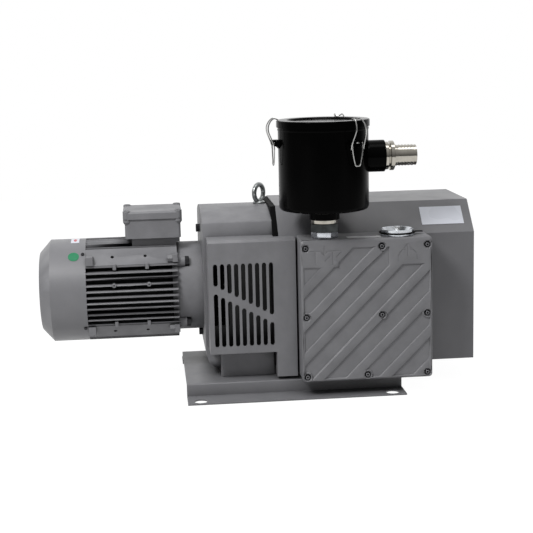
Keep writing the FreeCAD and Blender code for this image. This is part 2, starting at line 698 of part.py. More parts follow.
def gear_housing():
    """Three bolted sections: side plate, fan chamber and the oil-filled gear chamber."""
    casting = housing_prism(0.0, HOUSING_LEFT_X, HOUSING_RIGHT_X)
    radius = HOUSING_SCROLL_RADIUS
    corner = box(HOUSING_LEFT_X - 1, HOUSING_LEFT_X + radius, HOUSING_FRONT_Y - 1,
                 AXIS_Y + HOUSING_HALF_WIDTH + 1, HOUSING_BOTTOM_Z - 1, HOUSING_BOTTOM_Z + radius)
    barrel = rod_y(radius, HOUSING_FRONT_Y - 2, AXIS_Y + HOUSING_HALF_WIDTH + 2,
                   HOUSING_LEFT_X + radius, HOUSING_BOTTOM_Z + radius)
    casting = casting.cut(corner.cut(barrel))
    casting = rounded(casting, HOUSING_EDGE_RADIUS, lambda a, b: abs(a.x - b.x) > HOUSING_LENGTH - 1
                      and abs(a.z - HOUSING_CREASE_Z) < 0.1)
    fan_room = rod_x(FAN_RADIUS + FAN_CLEARANCE, HOUSING_LEFT_X + HOUSING_WALL, FAN_ROOM_RIGHT_X)
    window = box(HOUSING_LEFT_X + HOUSING_WALL, FAN_ROOM_RIGHT_X, HOUSING_FRONT_Y - 1, AXIS_Y,
                 DRIVE_AXIS_Z - FAN_RADIUS * FAN_WINDOW_SHARE, DRIVE_AXIS_Z + FAN_RADIUS * FAN_WINDOW_SHARE)
    room = GEAR_PITCH_RADIUS + GEAR_MODULE + GEAR_ROOM
    gear_room = rod_x(room, GEAR_ROOM_LEFT_X, BEARING_LEFT_X)
    gear_room = gear_room.fuse(rod_x(room, GEAR_ROOM_LEFT_X, BEARING_LEFT_X, z=DRIVEN_AXIS_Z))
    casting = casting.cut(fan_room.fuse(window)).cut(gear_room)
    for z in (DRIVE_AXIS_Z, DRIVEN_AXIS_Z):
        casting = casting.cut(rod_x(BEARING_RADIUS, BEARING_LEFT_X - 1, HOUSING_RIGHT_X + 1, z=z))
    casting = casting.cut(rod_x(SEAL_RADIUS, HOUSING_LEFT_X - 1, GEAR_ROOM_LEFT_X + 1))
    bolt_holes = [rod_x(BOLT_SHANK_RADIUS + RUNNING_CLEARANCE, HOUSING_LEFT_X - 1,
                        HOUSING_LEFT_X + HOUSING_WALL, z=z) for z in plate_bolt_heights()]
    eye_hole = prism_z(circle_points(EYE_SHANK_RADIUS + RUNNING_CLEARANCE, EYE_X, AXIS_Y, True),
                       HOUSING_CREST_Z - EYE_SHANK_LENGTH, HOUSING_CREST_Z + CUT_MARGIN)
    casting = casting.cut(group(bolt_holes + [eye_hole]))
    seat = box(EYE_X - EYE_COLLAR_RADIUS - 1, HOUSING_RIGHT_X, AXIS_Y - EYE_COLLAR_RADIUS - 1,
               AXIS_Y + EYE_COLLAR_RADIUS + 1, EYE_SEAT_Z, HOUSING_CREST_Z + 1)
    casting = casting.cut(seat)
    for y in (AXIS_Y - HOUSING_HALF_WIDTH + FOOT_PAD_INSET, AXIS_Y + HOUSING_HALF_WIDTH - FOOT_PAD_INSET
              - FOOT_PAD_WIDTH - (AXIS_Y + HOUSING_HALF_WIDTH - BASE_RISER_Y)):
        pad = box(HOUSING_LEFT_X + radius, HOUSING_RIGHT_X, y, y + FOOT_PAD_WIDTH, BASE_HEIGHT,
                  HOUSING_BOTTOM_Z + 2)
        casting = casting.fuse(pad)
    back_y = AXIS_Y + HOUSING_HALF_WIDTH
    for x, z, radius in oil_ports():
        casting = casting.cut(rod_y(radius + RUNNING_CLEARANCE, back_y - HOUSING_WALL, back_y + 1, x, z))
    seams = [HOUSING_LEFT_X, HOUSING_LEFT_X + HOUSING_WALL, FAN_ROOM_RIGHT_X, HOUSING_RIGHT_X]
    return group([housing_section(casting, x0, x1) for x0, x1 in zip(seams, seams[1:])])


def plate_bolt_heights():
    """Return the heights of the two bolts through the housing's left wall."""
    return [DRIVE_AXIS_Z + PLATE_BOLT_RISE, DRIVE_AXIS_Z - PLATE_BOLT_FALL]


def oil_ports():
    """Return x, z and radius of the sight glass, filler and drain ports on the back wall."""
    x = (GEAR_ROOM_LEFT_X + BEARING_LEFT_X) / 2
    sight_z = DRIVE_AXIS_Z - GEAR_PITCH_RADIUS / 2
    return [(x, sight_z, SIGHT_PORT_RADIUS), (x, DRIVEN_AXIS_Z, OIL_PORT_RADIUS),
            (x, HOUSING_BOTTOM_Z + HOUSING_FLOOR_RADIUS + OIL_PLUG_ACROSS_FLATS, OIL_PORT_RADIUS)]


def oil_sight_glass():
    """Round window that shows the oil level, with a bezel on the back wall."""
    x, z, radius = oil_ports()[0]
    back_y = AXIS_Y + HOUSING_HALF_WIDTH
    bezel = rod_y(SIGHT_GLASS_RADIUS, back_y, back_y + SIGHT_GLASS_REACH, x, z)
    front_y = back_y + SIGHT_GLASS_REACH
    bezel = bezel.cut(rod_y(SIGHT_WINDOW_RADIUS, front_y - SIGHT_WINDOW_DEPTH, front_y + CUT_MARGIN, x, z))
    return bezel.fuse(rod_y(radius, back_y - HOUSING_WALL, back_y, x, z))


def oil_plugs():
    """Filler and drain plugs with hexagon heads."""
    plugs = []
    back_y = AXIS_Y + HOUSING_HALF_WIDTH
    corner = OIL_PLUG_ACROSS_FLATS / math.sqrt(3)
    for x, z, radius in oil_ports()[1:]:
        outline = [(x + corner * math.cos(math.radians(60 * k)), z + corner * math.sin(math.radians(60 * k)))
                   for k in range(6)]
        head = prism_y(outline, back_y, back_y + OIL_PLUG_HEIGHT)
        plugs.append(head.fuse(rod_y(radius, back_y - HOUSING_WALL, back_y, x, z)))
    return group(plugs)


def eye_bolt():
    """Forged lifting eye, turned about its shank."""
    centre_z = EYE_SEAT_Z + EYE_COLLAR_HEIGHT + EYE_RING_RADIUS
    section = [(EYE_RING_RADIUS + u, v) for u, v in circle_points(EYE_SECTION_RADIUS, 0, 0)]
    ring = turned(section, lambda r, a, h: V(EYE_X + r * math.cos(a), AXIS_Y + h, centre_z + r * math.sin(a)))
    collar = rod_z(EYE_COLLAR_RADIUS, EYE_SEAT_Z, EYE_SEAT_Z + EYE_COLLAR_HEIGHT, EYE_X, AXIS_Y)
    shank = rod_z(EYE_SHANK_RADIUS, EYE_SEAT_Z - EYE_SHANK_LENGTH + 1, EYE_SEAT_Z, EYE_X, AXIS_Y)
    eye = ring.fuse(collar).fuse(shank)
    eye.rotate(V(EYE_X, AXIS_Y, 0), V(0, 0, 1), EYE_TURN)
    return eye


def hex_bolts():
    """Black hexagon bolts: four through the lantern flange and two in the housing wall."""
    bolts = []
    seat_x = LANTERN_LEFT_X + BOSS_LENGTH
    for y, z in flange_bolt_places():
        head = hexagon_x(BOLT_ACROSS_FLATS, seat_x, seat_x + BOLT_HEAD_HEIGHT, y, z)
        bolts.append(head.fuse(rod_x(BOLT_SHANK_RADIUS, FRAME_RIGHT_X + 1, seat_x, y, z)))
    for z in plate_bolt_heights():
        head = hexagon_x(PLATE_BOLT_ACROSS_FLATS, HOUSING_LEFT_X - BOLT_HEAD_HEIGHT, HOUSING_LEFT_X, AXIS_Y, z)
        shank = rod_x(BOLT_SHANK_RADIUS, HOUSING_LEFT_X, HOUSING_LEFT_X + HOUSING_WALL, AXIS_Y, z)
        bolts.append(head.fuse(shank))
    return group(bolts)


def flange_bolt_places():
    """Return the (y, z) places of the four motor flange bolts."""
    places = []
    for angle in (BOSS_ANGLE, 180 - BOSS_ANGLE, 180 + BOSS_ANGLE, 360 - BOSS_ANGLE):
        a = math.radians(angle)
        places.append((AXIS_Y + BOLT_CIRCLE_RADIUS * math.cos(a),
                       DRIVE_AXIS_Z + BOLT_CIRCLE_RADIUS * math.sin(a)))
    return places


# Lantern and coupling

def motor_lantern():
    """Bell housing between motor and gear housing, with four bolt bosses."""
    boss_x = LANTERN_LEFT_X + BOSS_LENGTH
    bell = rod_x(LANTERN_RADIUS, LANTERN_LEFT_X, HOUSING_LEFT_X)
    for y, z in flange_bolt_places():
        bell = bell.fuse(rod_x(BOSS_RADIUS, LANTERN_LEFT_X, boss_x, y, z))
    bell = bell.cut(rod_x(LANTERN_RADIUS - LANTERN_WALL, LANTERN_LEFT_X - 1, HOUSING_LEFT_X + 1))
    for y, z in flange_bolt_places():
        head_room = BOLT_ACROSS_FLATS / math.sqrt(3) + FIT_CLEARANCE
        bell = bell.cut(bore_x(head_room, boss_x, boss_x + BOLT_HEAD_HEIGHT + 1, y, z))
        bell = bell.cut(rod_x(BOLT_SHANK_RADIUS + RUNNING_CLEARANCE, LANTERN_LEFT_X - 1, boss_x + 1, y, z))
    return bell


def jaw(x0, x1, angle, spread, inner):
    """Return one coupling jaw: a sector of the rim, centred on an angle in degrees."""
    points = []
    rim = circle_points(COUPLING_RADIUS, AXIS_Y, DRIVE_AXIS_Z)
    for radius, turns in ((inner, (-1, 1)), (COUPLING_RADIUS * 2, (1, -1))):
        for turn in turns:
            a = math.radians(angle + turn * spread / 2)
            points.append((AXIS_Y + radius * math.cos(a), DRIVE_AXIS_Z + radius * math.sin(a)))
    return prism_x(points, x0, x1).common(prism_x(rim, x0, x1))


def coupling_hub(x0, x1, jaws_x0, jaws_x1, first_angle, bore):
    """Return a hub disc with its jaws."""
    hub = ring_x(COUPLING_RADIUS, bore, x0, x1)
    for k in range(COUPLING_JAWS):
        angle = first_angle + 360 / COUPLING_JAWS * k
        hub = hub.fuse(jaw(jaws_x0, jaws_x1, angle, JAW_SPREAD, JAW_INNER_RADIUS))
    return hub


def coupling_places():
    """Return the four faces of the coupling along X, from the motor to the pump."""
    motor_end = HOUSING_LEFT_X - 2 * COUPLING_HUB_LENGTH - SPIDER_THICKNESS - FIT_CLEARANCE * 2
    spider = motor_end + COUPLING_HUB_LENGTH
    pump = spider + SPIDER_THICKNESS
    return motor_end, spider, pump, pump + COUPLING_HUB_LENGTH


def coupling_motor_hub():
    """Coupling half on the motor shaft."""
    x0, x1, x2, _ = coupling_places()
    return coupling_hub(x0, x1, x1, x2 - FIT_CLEARANCE, 0, MOTOR_SHAFT_RADIUS)


def coupling_pump_hub():
    """Coupling half on the drive shaft."""
    _, x1, x2, x3 = coupling_places()
    return coupling_hub(x2, x3, x1 + FIT_CLEARANCE, x2, 60, SHAFT_RADIUS)


def coupling_spider():
    """Elastic star between the jaws of the two coupling halves."""
    _, x1, x2, _ = coupling_places()
    x1, x2 = x1 + FIT_CLEARANCE, x2 - FIT_CLEARANCE
    star = ring_x(JAW_INNER_RADIUS - SPIDER_RING_GAP, MOTOR_SHAFT_RADIUS + FIT_CLEARANCE, x1, x2)
    step = 180 / COUPLING_JAWS
    for k in range(2 * COUPLING_JAWS):
        star = star.fuse(jaw(x1, x2, step * (k + 0.5), SPIDER_SPREAD, MOTOR_SHAFT_RADIUS + SPIDER_RING_GAP))
    return star


# Shafts, fan and gears

def drive_shaft():
    """Pump shaft on the motor axis."""
    _, _, x2, _ = coupling_places()
    return shaft_x(SHAFT_RADIUS, x2, COVER_RIGHT_X)


def driven_shaft():
    """Upper pump shaft, turned by the synchronising gears."""
    return shaft_x(SHAFT_RADIUS, GEAR_LEFT_X - GEAR_ROOM / 2, COVER_RIGHT_X, DRIVEN_AXIS_Z)


def cooling_fan():
    """Radial fan on the drive shaft that draws air in through the grille."""
    x1 = FAN_LEFT_X + FAN_WIDTH
    hub = rod_x(FAN_HUB_RADIUS, FAN_LEFT_X, x1).fuse(rod_x(FAN_RADIUS, x1 - FAN_PLATE, x1))
    return bladed(hub, FAN_LEFT_X, x1, FAN_HUB_RADIUS, FAN_RADIUS, FAN_BLADES, SHAFT_RADIUS)


def bladed(hub, x0, x1, inner, outer, count, bore):
    """Add flat radial blades to a fan's hub and disc, and bore it."""
    half = FAN_BLADE_THICKNESS / 2
    blade = box(x0, x1, AXIS_Y - half, AXIS_Y + half, DRIVE_AXIS_Z + inner - FAN_BLADE_THICKNESS,
                DRIVE_AXIS_Z + outer - FAN_BLADE_THICKNESS)
    for k in range(count):
        hub = hub.fuse(around_axis(blade, 360 / count * k))
    return hub.cut(bore_x(bore, x0 - CUT_MARGIN, x1 + CUT_MARGIN))


def involute(angle):
    """Return the involute function of an angle in radians."""
    return math.tan(angle) - angle


def gear(axis_z, first_tooth):
    """Return a spur gear with involute teeth, its first tooth at an angle in radians."""
    outer = GEAR_PITCH_RADIUS + GEAR_MODULE
    root = GEAR_PITCH_RADIUS - 1.25 * GEAR_MODULE
    base = GEAR_PITCH_RADIUS * math.cos(PRESSURE_ANGLE)
    pitch_half_angle = (math.pi * GEAR_MODULE / 2 - GEAR_BACKLASH) / (2 * GEAR_PITCH_RADIUS)
    start = pitch_half_angle + involute(PRESSURE_ANGLE)
    flank = [(root, start)]
    flank += [(r, start - involute(math.acos(base / r))) for r in (GEAR_PITCH_RADIUS, outer)]
    outline = []
    for tooth in range(GEAR_TEETH):
        middle = first_tooth + 2 * math.pi * tooth / GEAR_TEETH
        outline += [(r, middle - a) for r, a in flank] + [(r, middle + a) for r, a in reversed(flank)]
    points = [(AXIS_Y + r * math.cos(a), axis_z + r * math.sin(a)) for r, a in outline]
    wheel = prism_x(points, GEAR_LEFT_X, GEAR_RIGHT_X)
    return wheel.cut(bore_x(SHAFT_RADIUS, GEAR_LEFT_X - CUT_MARGIN, GEAR_RIGHT_X + CUT_MARGIN, z=axis_z))


def drive_gear():
    """Synchronising gear on the drive shaft, with a tooth pointing at the driven shaft."""
    return gear(DRIVE_AXIS_Z, math.pi / 2)


def driven_gear():
    """Synchronising gear on the driven shaft, with a gap pointing at the drive shaft."""
    return gear(DRIVEN_AXIS_Z, -math.pi / 2 + math.pi / GEAR_TEETH)


# Claw rotors and cylinder

def claw_outline():
    """Return the claw's outline in the plane of a shaft at the origin.

    The hooked flank is the path of the other rotor's tip: with both rotors turning by t in
    opposite senses at a centre distance c, a tip at radius r runs through
    (c cos t - r cos 2t, r sin 2t - c sin t). The back flank falls to the root in a smooth curve.
    """
    c = CENTRE_DISTANCE
    tip = CLAW_RADIUS + CLAW_TIP_CLEARANCE
    last = math.acos((c * c + tip * tip - CLAW_RADIUS * CLAW_RADIUS) / (2 * c * tip))
    hook = []
    for k in range(2 * HOOK_ARCS + 1):
        t = last * k / (2 * HOOK_ARCS)
        hook.append(V(c * math.cos(t) - tip * math.cos(2 * t), tip * math.sin(2 * t) - c * math.sin(t), 0))
    start = math.atan2(hook[-1].y, hook[-1].x)
    arc_end = math.radians(CLAW_ARC)
    back_end = math.radians(CLAW_ARC + CLAW_BACK)

    def polar(radius, angle):
        return V(radius * math.cos(angle), radius * math.sin(angle), 0)

    inner = hook[0].Length
    edges = [Part.Arc(hook[2 * k], hook[2 * k + 1], hook[2 * k + 2]).toShape() for k in range(HOOK_ARCS)]
    rim = [polar(CLAW_RADIUS, start + (arc_end - start) * k / CLAW_RIM_SIDES)
           for k in range(1, CLAW_RIM_SIDES + 1)]
    middle = polar((CLAW_RADIUS + inner) * CLAW_BACK_BULGE, arc_end * 0.4 + back_end * 0.6)
    hub = [polar(inner, back_end + (2 * math.pi - back_end) * k / CLAW_HUB_SIDES) for k in range(CLAW_HUB_SIDES)]
    edges += Part.makePolygon([hook[-1]] + rim).Edges
    edges.append(Part.Arc(rim[-1], middle, hub[0]).toShape())
    edges += Part.makePolygon(hub + [hook[0]]).Edges
    return Part.Wire(edges)


def claw(axis_z, turn):
    """Return a claw rotor on a shaft, turned by an angle in degrees from the meshing position."""
    x0 = CYLINDER_LEFT_X + ROTOR_END_GAP
    body = Part.Face(claw_outline()).extrude(V(0, 0, CLAW_LENGTH))
    middle = (CLAW_RADIUS + CLAW_ROOT_RADIUS) / 2 + 2
    for angle in (CLAW_ARC * 0.36, CLAW_ARC * 0.72):
        a = math.radians(angle)
        hole = rod_z(CLAW_LIGHTENING_RADIUS, -CUT_MARGIN, CLAW_LENGTH + CUT_MARGIN,
                     middle * math.cos(a), middle * math.sin(a))
        body = body.cut(hole)
    body = body.cut(prism_z(circle_points(SHAFT_RADIUS, 0, 0, True), -CUT_MARGIN, CLAW_LENGTH + CUT_MARGIN))
    body.rotate(V(0, 0, 0), V(1, 1, 1), 120)
    body.rotate(V(0, 0, 0), V(1, 0, 0), 90 + turn)
    body.translate(V(x0, AXIS_Y, axis_z))
    return body


def drive_claw():
    """Lower claw rotor, at rest with its heavy side down."""
    return claw(DRIVE_AXIS_Z, 90)


def driven_claw():
    """Upper claw rotor, the same piece, turned to hook past the lower one."""
    return claw(DRIVEN_AXIS_Z, 180 - 90)


def twin_rods(radius, x0, x1):
    """Return two joined round bars about the two shaft axes."""
    return rod_x(radius, x0, x1).fuse(rod_x(radius, x0, x1, z=DRIVEN_AXIS_Z))


def twin_bores(radius, x0, x1):
    """Return two joined bores about the two shaft axes."""
    return bore_x(radius, x0, x1).fuse(bore_x(radius, x0, x1, z=DRIVEN_AXIS_Z))


def shaft_stations():
    """Return the left faces of the bearings and of the seals along X."""
    return [BEARING_LEFT_X, COVER_RIGHT_X - BEARING_WIDTH], [HOUSING_RIGHT_X + 4, CYLINDER_RIGHT_X + 1]


def cylinder_plate():
    """Side plate between the gear housing and the cylinder, with the shaft seal seats."""
    plate = twin_rods(CLAW_RADIUS + CYLINDER_WALL, HOUSING_RIGHT_X, CYLINDER_LEFT_X)
    _, seals = shaft_stations()
    for z in (DRIVE_AXIS_Z, DRIVEN_AXIS_Z):
        plate = plate.cut(bore_x(SHAFT_RADIUS + FIT_CLEARANCE, HOUSING_RIGHT_X - 1, CYLINDER_LEFT_X + 1, z=z))
        plate = plate.cut(rod_x(SEAL_RADIUS, seals[0], seals[0] + SEAL_WIDTH, z=z))
    return plate


def pump_cylinder():
    """Finned cylinder with a figure-eight bore, two port stubs and a rear foot."""
    bore = CLAW_RADIUS + CLAW_BORE_CLEARANCE
    outer = CLAW_RADIUS + CYLINDER_WALL
    shell = twin_rods(outer, CYLINDER_LEFT_X, CYLINDER_RIGHT_X)
    count = int((CYLINDER_LENGTH - FIN_THICKNESS) // FIN_PITCH) + 1
    first = CYLINDER_LEFT_X + (CYLINDER_LENGTH - (count - 1) * FIN_PITCH - FIN_THICKNESS) / 2
    top = min(DRIVEN_AXIS_Z + outer + FIN_HEIGHT, HOOD_TOP_Z - HOOD_SHEET - 3)
    for k in range(count):
        x = first + k * FIN_PITCH
        shell = shell.fuse(prism_x(fin_outline(outer + FIN_HEIGHT, top), x, x + FIN_THICKNESS))
    for x, z in port_places():
        shell = shell.fuse(rod_y(PORT_RADIUS + PORT_WALL, HOOD_FRONT_Y - SILENCER_BACK_GAP, AXIS_Y, x, z))
    foot = box(CYLINDER_RIGHT_X - REAR_FOOT_LENGTH, CYLINDER_RIGHT_X, AXIS_Y - outer, AXIS_Y + outer,
               BASE_HEIGHT, DRIVE_AXIS_Z)
    arch = box(CYLINDER_RIGHT_X - REAR_FOOT_LENGTH - 1, CYLINDER_RIGHT_X + 1, AXIS_Y - outer + 2 * CYLINDER_WALL,
               AXIS_Y + outer - 2 * CYLINDER_WALL, BASE_HEIGHT - 1, DRIVE_AXIS_Z - outer - CYLINDER_WALL)
    shell = shell.fuse(foot.cut(arch))
    shell = shell.cut(twin_bores(bore, CYLINDER_LEFT_X - 1, CYLINDER_RIGHT_X + 1))
    for x, z in port_places():
        shell = shell.cut(rod_y(PORT_RADIUS, HOOD_FRONT_Y - SILENCER_BACK_GAP - 1, AXIS_Y, x, z))
    return shell


def fin_outline(half, top):
    """Return the (y, z) outline of a cylinder fin, its corners cut off by the fin's height."""
    low, cut = DRIVE_AXIS_Z - half, 2 * FIN_HEIGHT
    outline = [(-half + cut, low), (half - cut, low), (half, low + cut), (half, top - cut),
               (half - cut, top), (-half + cut, top), (-half, top - cut), (-half, low + cut)]
    return [(AXIS_Y + y, z) for y, z in outline]


def port_places():
    """Return x and z of the inlet and outlet ports between cylinder and silencer."""
    return [(CYLINDER_LEFT_X + INLET_PORT_STEP, INLET_PORT_Z),
            (CYLINDER_LEFT_X + OUTLET_PORT_STEP, OUTLET_PORT_Z)]


def end_cover():
    """Right-hand cover of the cylinder with the outer bearing seats."""
    cover = twin_rods(CLAW_RADIUS + CYLINDER_WALL, CYLINDER_RIGHT_X, COVER_RIGHT_X)
    bearings, seals = shaft_stations()
    for z in (DRIVE_AXIS_Z, DRIVEN_AXIS_Z):
        cap = rod_x(BEARING_RADIUS + BEARING_CAP, COVER_RIGHT_X - 1, COVER_RIGHT_X + BEARING_CAP, z=z)
        cover = cover.fuse(cap)
        cover = cover.cut(bore_x(SHAFT_RADIUS + FIT_CLEARANCE, CYLINDER_RIGHT_X - 1, COVER_RIGHT_X + 1, z=z))
        cover = cover.cut(rod_x(SEAL_RADIUS, seals[1], seals[1] + SEAL_WIDTH, z=z))
        cover = cover.cut(rod_x(BEARING_RADIUS, bearings[1], COVER_RIGHT_X, z=z))
    return cover


def shaft_bearings():
    """Four rolling bearings, two on each pump shaft."""
    rings = []
    bearings, _ = shaft_stations()
    for z in (DRIVE_AXIS_Z, DRIVEN_AXIS_Z):
        for x in bearings:
            rings.append(ring_x(BEARING_RADIUS, SHAFT_RADIUS + RUNNING_CLEARANCE, x, x + BEARING_WIDTH, z=z))
    return group(rings)


def shaft_seals():
    """Lip seals beside the rotors and where the drive shaft enters the gear chamber."""
    rings = []
    _, seals = shaft_stations()
    inner = SHAFT_RADIUS + RUNNING_CLEARANCE
    for z in (DRIVE_AXIS_Z, DRIVEN_AXIS_Z):
        for x in seals:
            rings.append(ring_x(SEAL_RADIUS, inner, x, x + SEAL_WIDTH, z=z))
    rings.append(ring_x(SEAL_RADIUS, inner, GEAR_ROOM_LEFT_X - SEAL_WIDTH, GEAR_ROOM_LEFT_X))
    return group(rings)


# Motor

def fin_tip(offset):
    """Return how far from the axis a fin reaches at a sideways offset."""
    return math.sqrt(MOTOR_RADIUS ** 2 - offset ** 2)


def motor_frame():
    """Finned stator frame with four slanted mounting pads."""
    x0, x1 = FRAME_LEFT_X, FRAME_RIGHT_X
    frame = rod_x(FRAME_TUBE_RADIUS, x0, x1)
    half = MOTOR_FIN_THICKNESS / 2
    fins = []
    for count, turned in ((SIDE_FINS, False), (TOP_FINS, True)):
        for k in range(count):
            offset = (k - (count - 1) / 2) * MOTOR_FIN_PITCH
            reach = fin_tip(abs(offset) + half)
            inner = math.sqrt(max(FRAME_TUBE_RADIUS ** 2 - (abs(offset) + half) ** 2, 0)) - 2
            for side in (-1, 1):
                near, far = sorted((side * inner, side * reach))
                if turned:
                    fins.append(box(x0, x1, AXIS_Y + offset - half, AXIS_Y + offset + half,
                                    DRIVE_AXIS_Z + near, DRIVE_AXIS_Z + far))
                else:
                    fins.append(box(x0, x1, AXIS_Y + near, AXIS_Y + far,
                                    DRIVE_AXIS_Z + offset - half, DRIVE_AXIS_Z + offset + half))
    wide = fin_tip(PAD_LOW)
    narrow = fin_tip(PAD_HIGH)
    pad_line = [(wide, PAD_LOW), (narrow, PAD_HIGH), (narrow * 0.8, PAD_HIGH * 0.75), (wide * 0.8, PAD_LOW * 0.75)]
    hole_x = [(x0 + x1) / 2 + s * PAD_HOLE_SPACING / 2 for s in (-1, 1)]
    holes = []
    for side_y in (-1, 1):
        for side_z in (-1, 1):
            fins.append(prism_x([(AXIS_Y + side_y * y, DRIVE_AXIS_Z + side_z * z) for y, z in pad_line], x0, x1))
            normal = V(0, side_y * (PAD_HIGH - PAD_LOW), side_z * (wide - narrow))
            normal.normalize()
            middle = V(0, AXIS_Y + side_y * (wide + narrow) / 2, DRIVE_AXIS_Z + side_z * (PAD_LOW + PAD_HIGH) / 2)
            for x in hole_x:
                start = V(x, middle.y, middle.z) - normal * PAD_HOLE_DEPTH
                holes.append(rod_along(PAD_HOLE_RADIUS, PAD_HOLE_DEPTH + CUT_MARGIN, start, normal))
    half_neck = TERMINAL_NECK_LENGTH / 2
    neck_x0, neck_x1 = TERMINAL_X - half_neck, TERMINAL_X + half_neck
    fins.append(box(neck_x0, neck_x1, AXIS_Y - half_neck, AXIS_Y + half_neck, TERMINAL_NECK_Z, TERMINAL_BOTTOM_Z))
    fins.append(box(neck_x0, min(neck_x1, x1), AXIS_Y - half_neck, AXIS_Y + half_neck,
                    DRIVE_AXIS_Z + FRAME_BORE_RADIUS / 2, TERMINAL_NECK_Z))
    frame = frame.multiFuse(fins)
    return frame.cut(rod_x(FRAME_BORE_RADIUS, x0 - 1, x1 + 1)).cut(group(holes))


def bearing_shield(x0, x1, bearing_x0, radius):
    """Return a motor end shield with a seat for its bearing."""
    bearing_x1 = bearing_x0 + MOTOR_BEARING_WIDTH
    shield = rod_x(radius, x0, x1)
    shield = shield.cut(bore_x(MOTOR_SHAFT_RADIUS + CUT_MARGIN, x0 - CUT_MARGIN, x1 + CUT_MARGIN))
    return shield.cut(rod_x(MOTOR_BEARING_RADIUS, bearing_x0, bearing_x1))


def motor_bearing_places():
    """Return the left faces of the two motor bearings."""
    return [FRAME_LEFT_X - SHIELD_THICKNESS + 1, FRAME_RIGHT_X + 1]


def drive_end_shield():
    """Motor end shield on the pump side, with bosses for the flange bolts."""
    x0, x1 = FRAME_RIGHT_X, LANTERN_LEFT_X
    shield = bearing_shield(x0, x1, motor_bearing_places()[1], SHIELD_RADIUS)
    for y, z in flange_bolt_places():
        shield = shield.fuse(rod_x(BOSS_RADIUS, x0, x1, y, z))
        shield = shield.cut(rod_x(BOLT_SHANK_RADIUS + RUNNING_CLEARANCE, x0 - 1, x1 + 1, y, z))
    return shield


def fan_end_shield():
    """Motor end shield under the fan cowl."""
    x0, x1 = FRAME_LEFT_X - SHIELD_THICKNESS, FRAME_LEFT_X
    radius = MOTOR_RADIUS - COWL_SHEET - FIT_CLEARANCE
    shield = bearing_shield(x0, x1, motor_bearing_places()[0], radius)
    for angle in cowl_screw_angles():
        shield = shield.cut(cowl_screw_shank(angle, COWL_SCREW_RADIUS))
    return shield


def cowl_screw_angles():
    """Return the angles of the four cowl screws, from +Y towards +Z."""
    return [COWL_SCREW_ANGLE + 90 * k for k in range(4)]


def cowl_screw_shank(angle, radius):
    """Return a screw shank that points at the motor axis through the cowl's edge."""
    x = FRAME_LEFT_X - SHIELD_THICKNESS / 2
    a = math.radians(angle)
    out = V(0, math.cos(a), math.sin(a))
    start = V(x, AXIS_Y, DRIVE_AXIS_Z) + out * (MOTOR_RADIUS - COWL_SHEET - COWL_SCREW_LENGTH)
    return rod_along(radius, COWL_SCREW_LENGTH + COWL_SHEET, start, out)


def cowl_screws():
    """Four pan-head screws that hold the fan cowl."""
    screws = []
    x = FRAME_LEFT_X - SHIELD_THICKNESS / 2
    for angle in cowl_screw_angles():
        a = math.radians(angle)
        out = V(0, math.cos(a), math.sin(a))
        start = V(x, AXIS_Y, DRIVE_AXIS_Z) + out * MOTOR_RADIUS
        head = rod_along(COWL_SCREW_HEAD_RADIUS, COWL_SCREW_HEAD_HEIGHT, start, out)
        screws.append(cowl_screw_shank(angle, COWL_SCREW_RADIUS).fuse(head))
    return group(screws)


def fan_cowl():
    """Sheet-steel fan cowl with a chamfered edge and air holes in its face."""
    wall = COWL_SHEET
    outer, face = MOTOR_RADIUS, COWL_FACE_RADIUS
    profile = [(FRAME_LEFT_X, outer), (COWL_EDGE_X, outer), (COWL_FACE_X, face), (COWL_FACE_X, 0),
               (COWL_FACE_X + wall, 0), (COWL_FACE_X + wall, face - wall / 2),
               (COWL_EDGE_X + wall / 2, outer - wall), (FRAME_LEFT_X, outer - wall)]
    cowl = turned_x(profile)
    holes = []
    corner = COWL_HOLE_HALF
    for ring, count in COWL_HOLE_RINGS:
        for k in range(count):
            a = 2 * math.pi * k / count
            y = AXIS_Y + ring * math.cos(a)
            z = DRIVE_AXIS_Z + ring * math.sin(a)
            holes.append(prism_x([(y - corner, z), (y, z - corner), (y + corner, z), (y, z + corner)],
                                 COWL_FACE_X - CUT_MARGIN, COWL_FACE_X + wall + CUT_MARGIN))
    cowl = cowl.cut(group(holes))
    return cowl.cut(group([cowl_screw_shank(angle, COWL_SCREW_RADIUS) for angle in cowl_screw_angles()]))


def motor_shaft():
    """Motor shaft from the cooling fan to the coupling."""
    _, x1, _, _ = coupling_places()
    fan_x = FRAME_LEFT_X - SHIELD_THICKNESS - MOTOR_FAN_GAP - MOTOR_FAN_WIDTH
    return shaft_x(MOTOR_SHAFT_RADIUS, fan_x, x1)


def motor_fan():
    """Plastic fan with flat blades that suits both directions of rotation."""
    x1 = FRAME_LEFT_X - SHIELD_THICKNESS - MOTOR_FAN_GAP
    x0 = x1 - MOTOR_FAN_WIDTH
    inner = MOTOR_SHAFT_RADIUS + MOTOR_FAN_HUB_WALL
    hub = rod_x(inner, x0, x1).fuse(rod_x(MOTOR_FAN_RADIUS, x1 - MOTOR_FAN_PLATE, x1))
    return bladed(hub, x0, x1, inner, MOTOR_FAN_RADIUS, MOTOR_FAN_BLADES, MOTOR_SHAFT_RADIUS)


def motor_stator():
    """Laminated stator core with its winding heads."""
    core = ring_x(FRAME_BORE_RADIUS, STATOR_BORE_RADIUS, STATOR_LEFT_X, STATOR_RIGHT_X)
    heads = ring_x(WINDING_RADIUS, STATOR_BORE_RADIUS + WINDING_STEP, STATOR_LEFT_X - WINDING_OVERHANG,
                   STATOR_RIGHT_X + WINDING_OVERHANG)
    return core.fuse(heads)


def motor_rotor():
    """Squirrel-cage rotor pressed on the motor shaft."""
    return ring_x(STATOR_BORE_RADIUS - AIR_GAP, MOTOR_SHAFT_RADIUS, STATOR_LEFT_X - CAGE_OVERHANG,
                  STATOR_RIGHT_X + CAGE_OVERHANG)


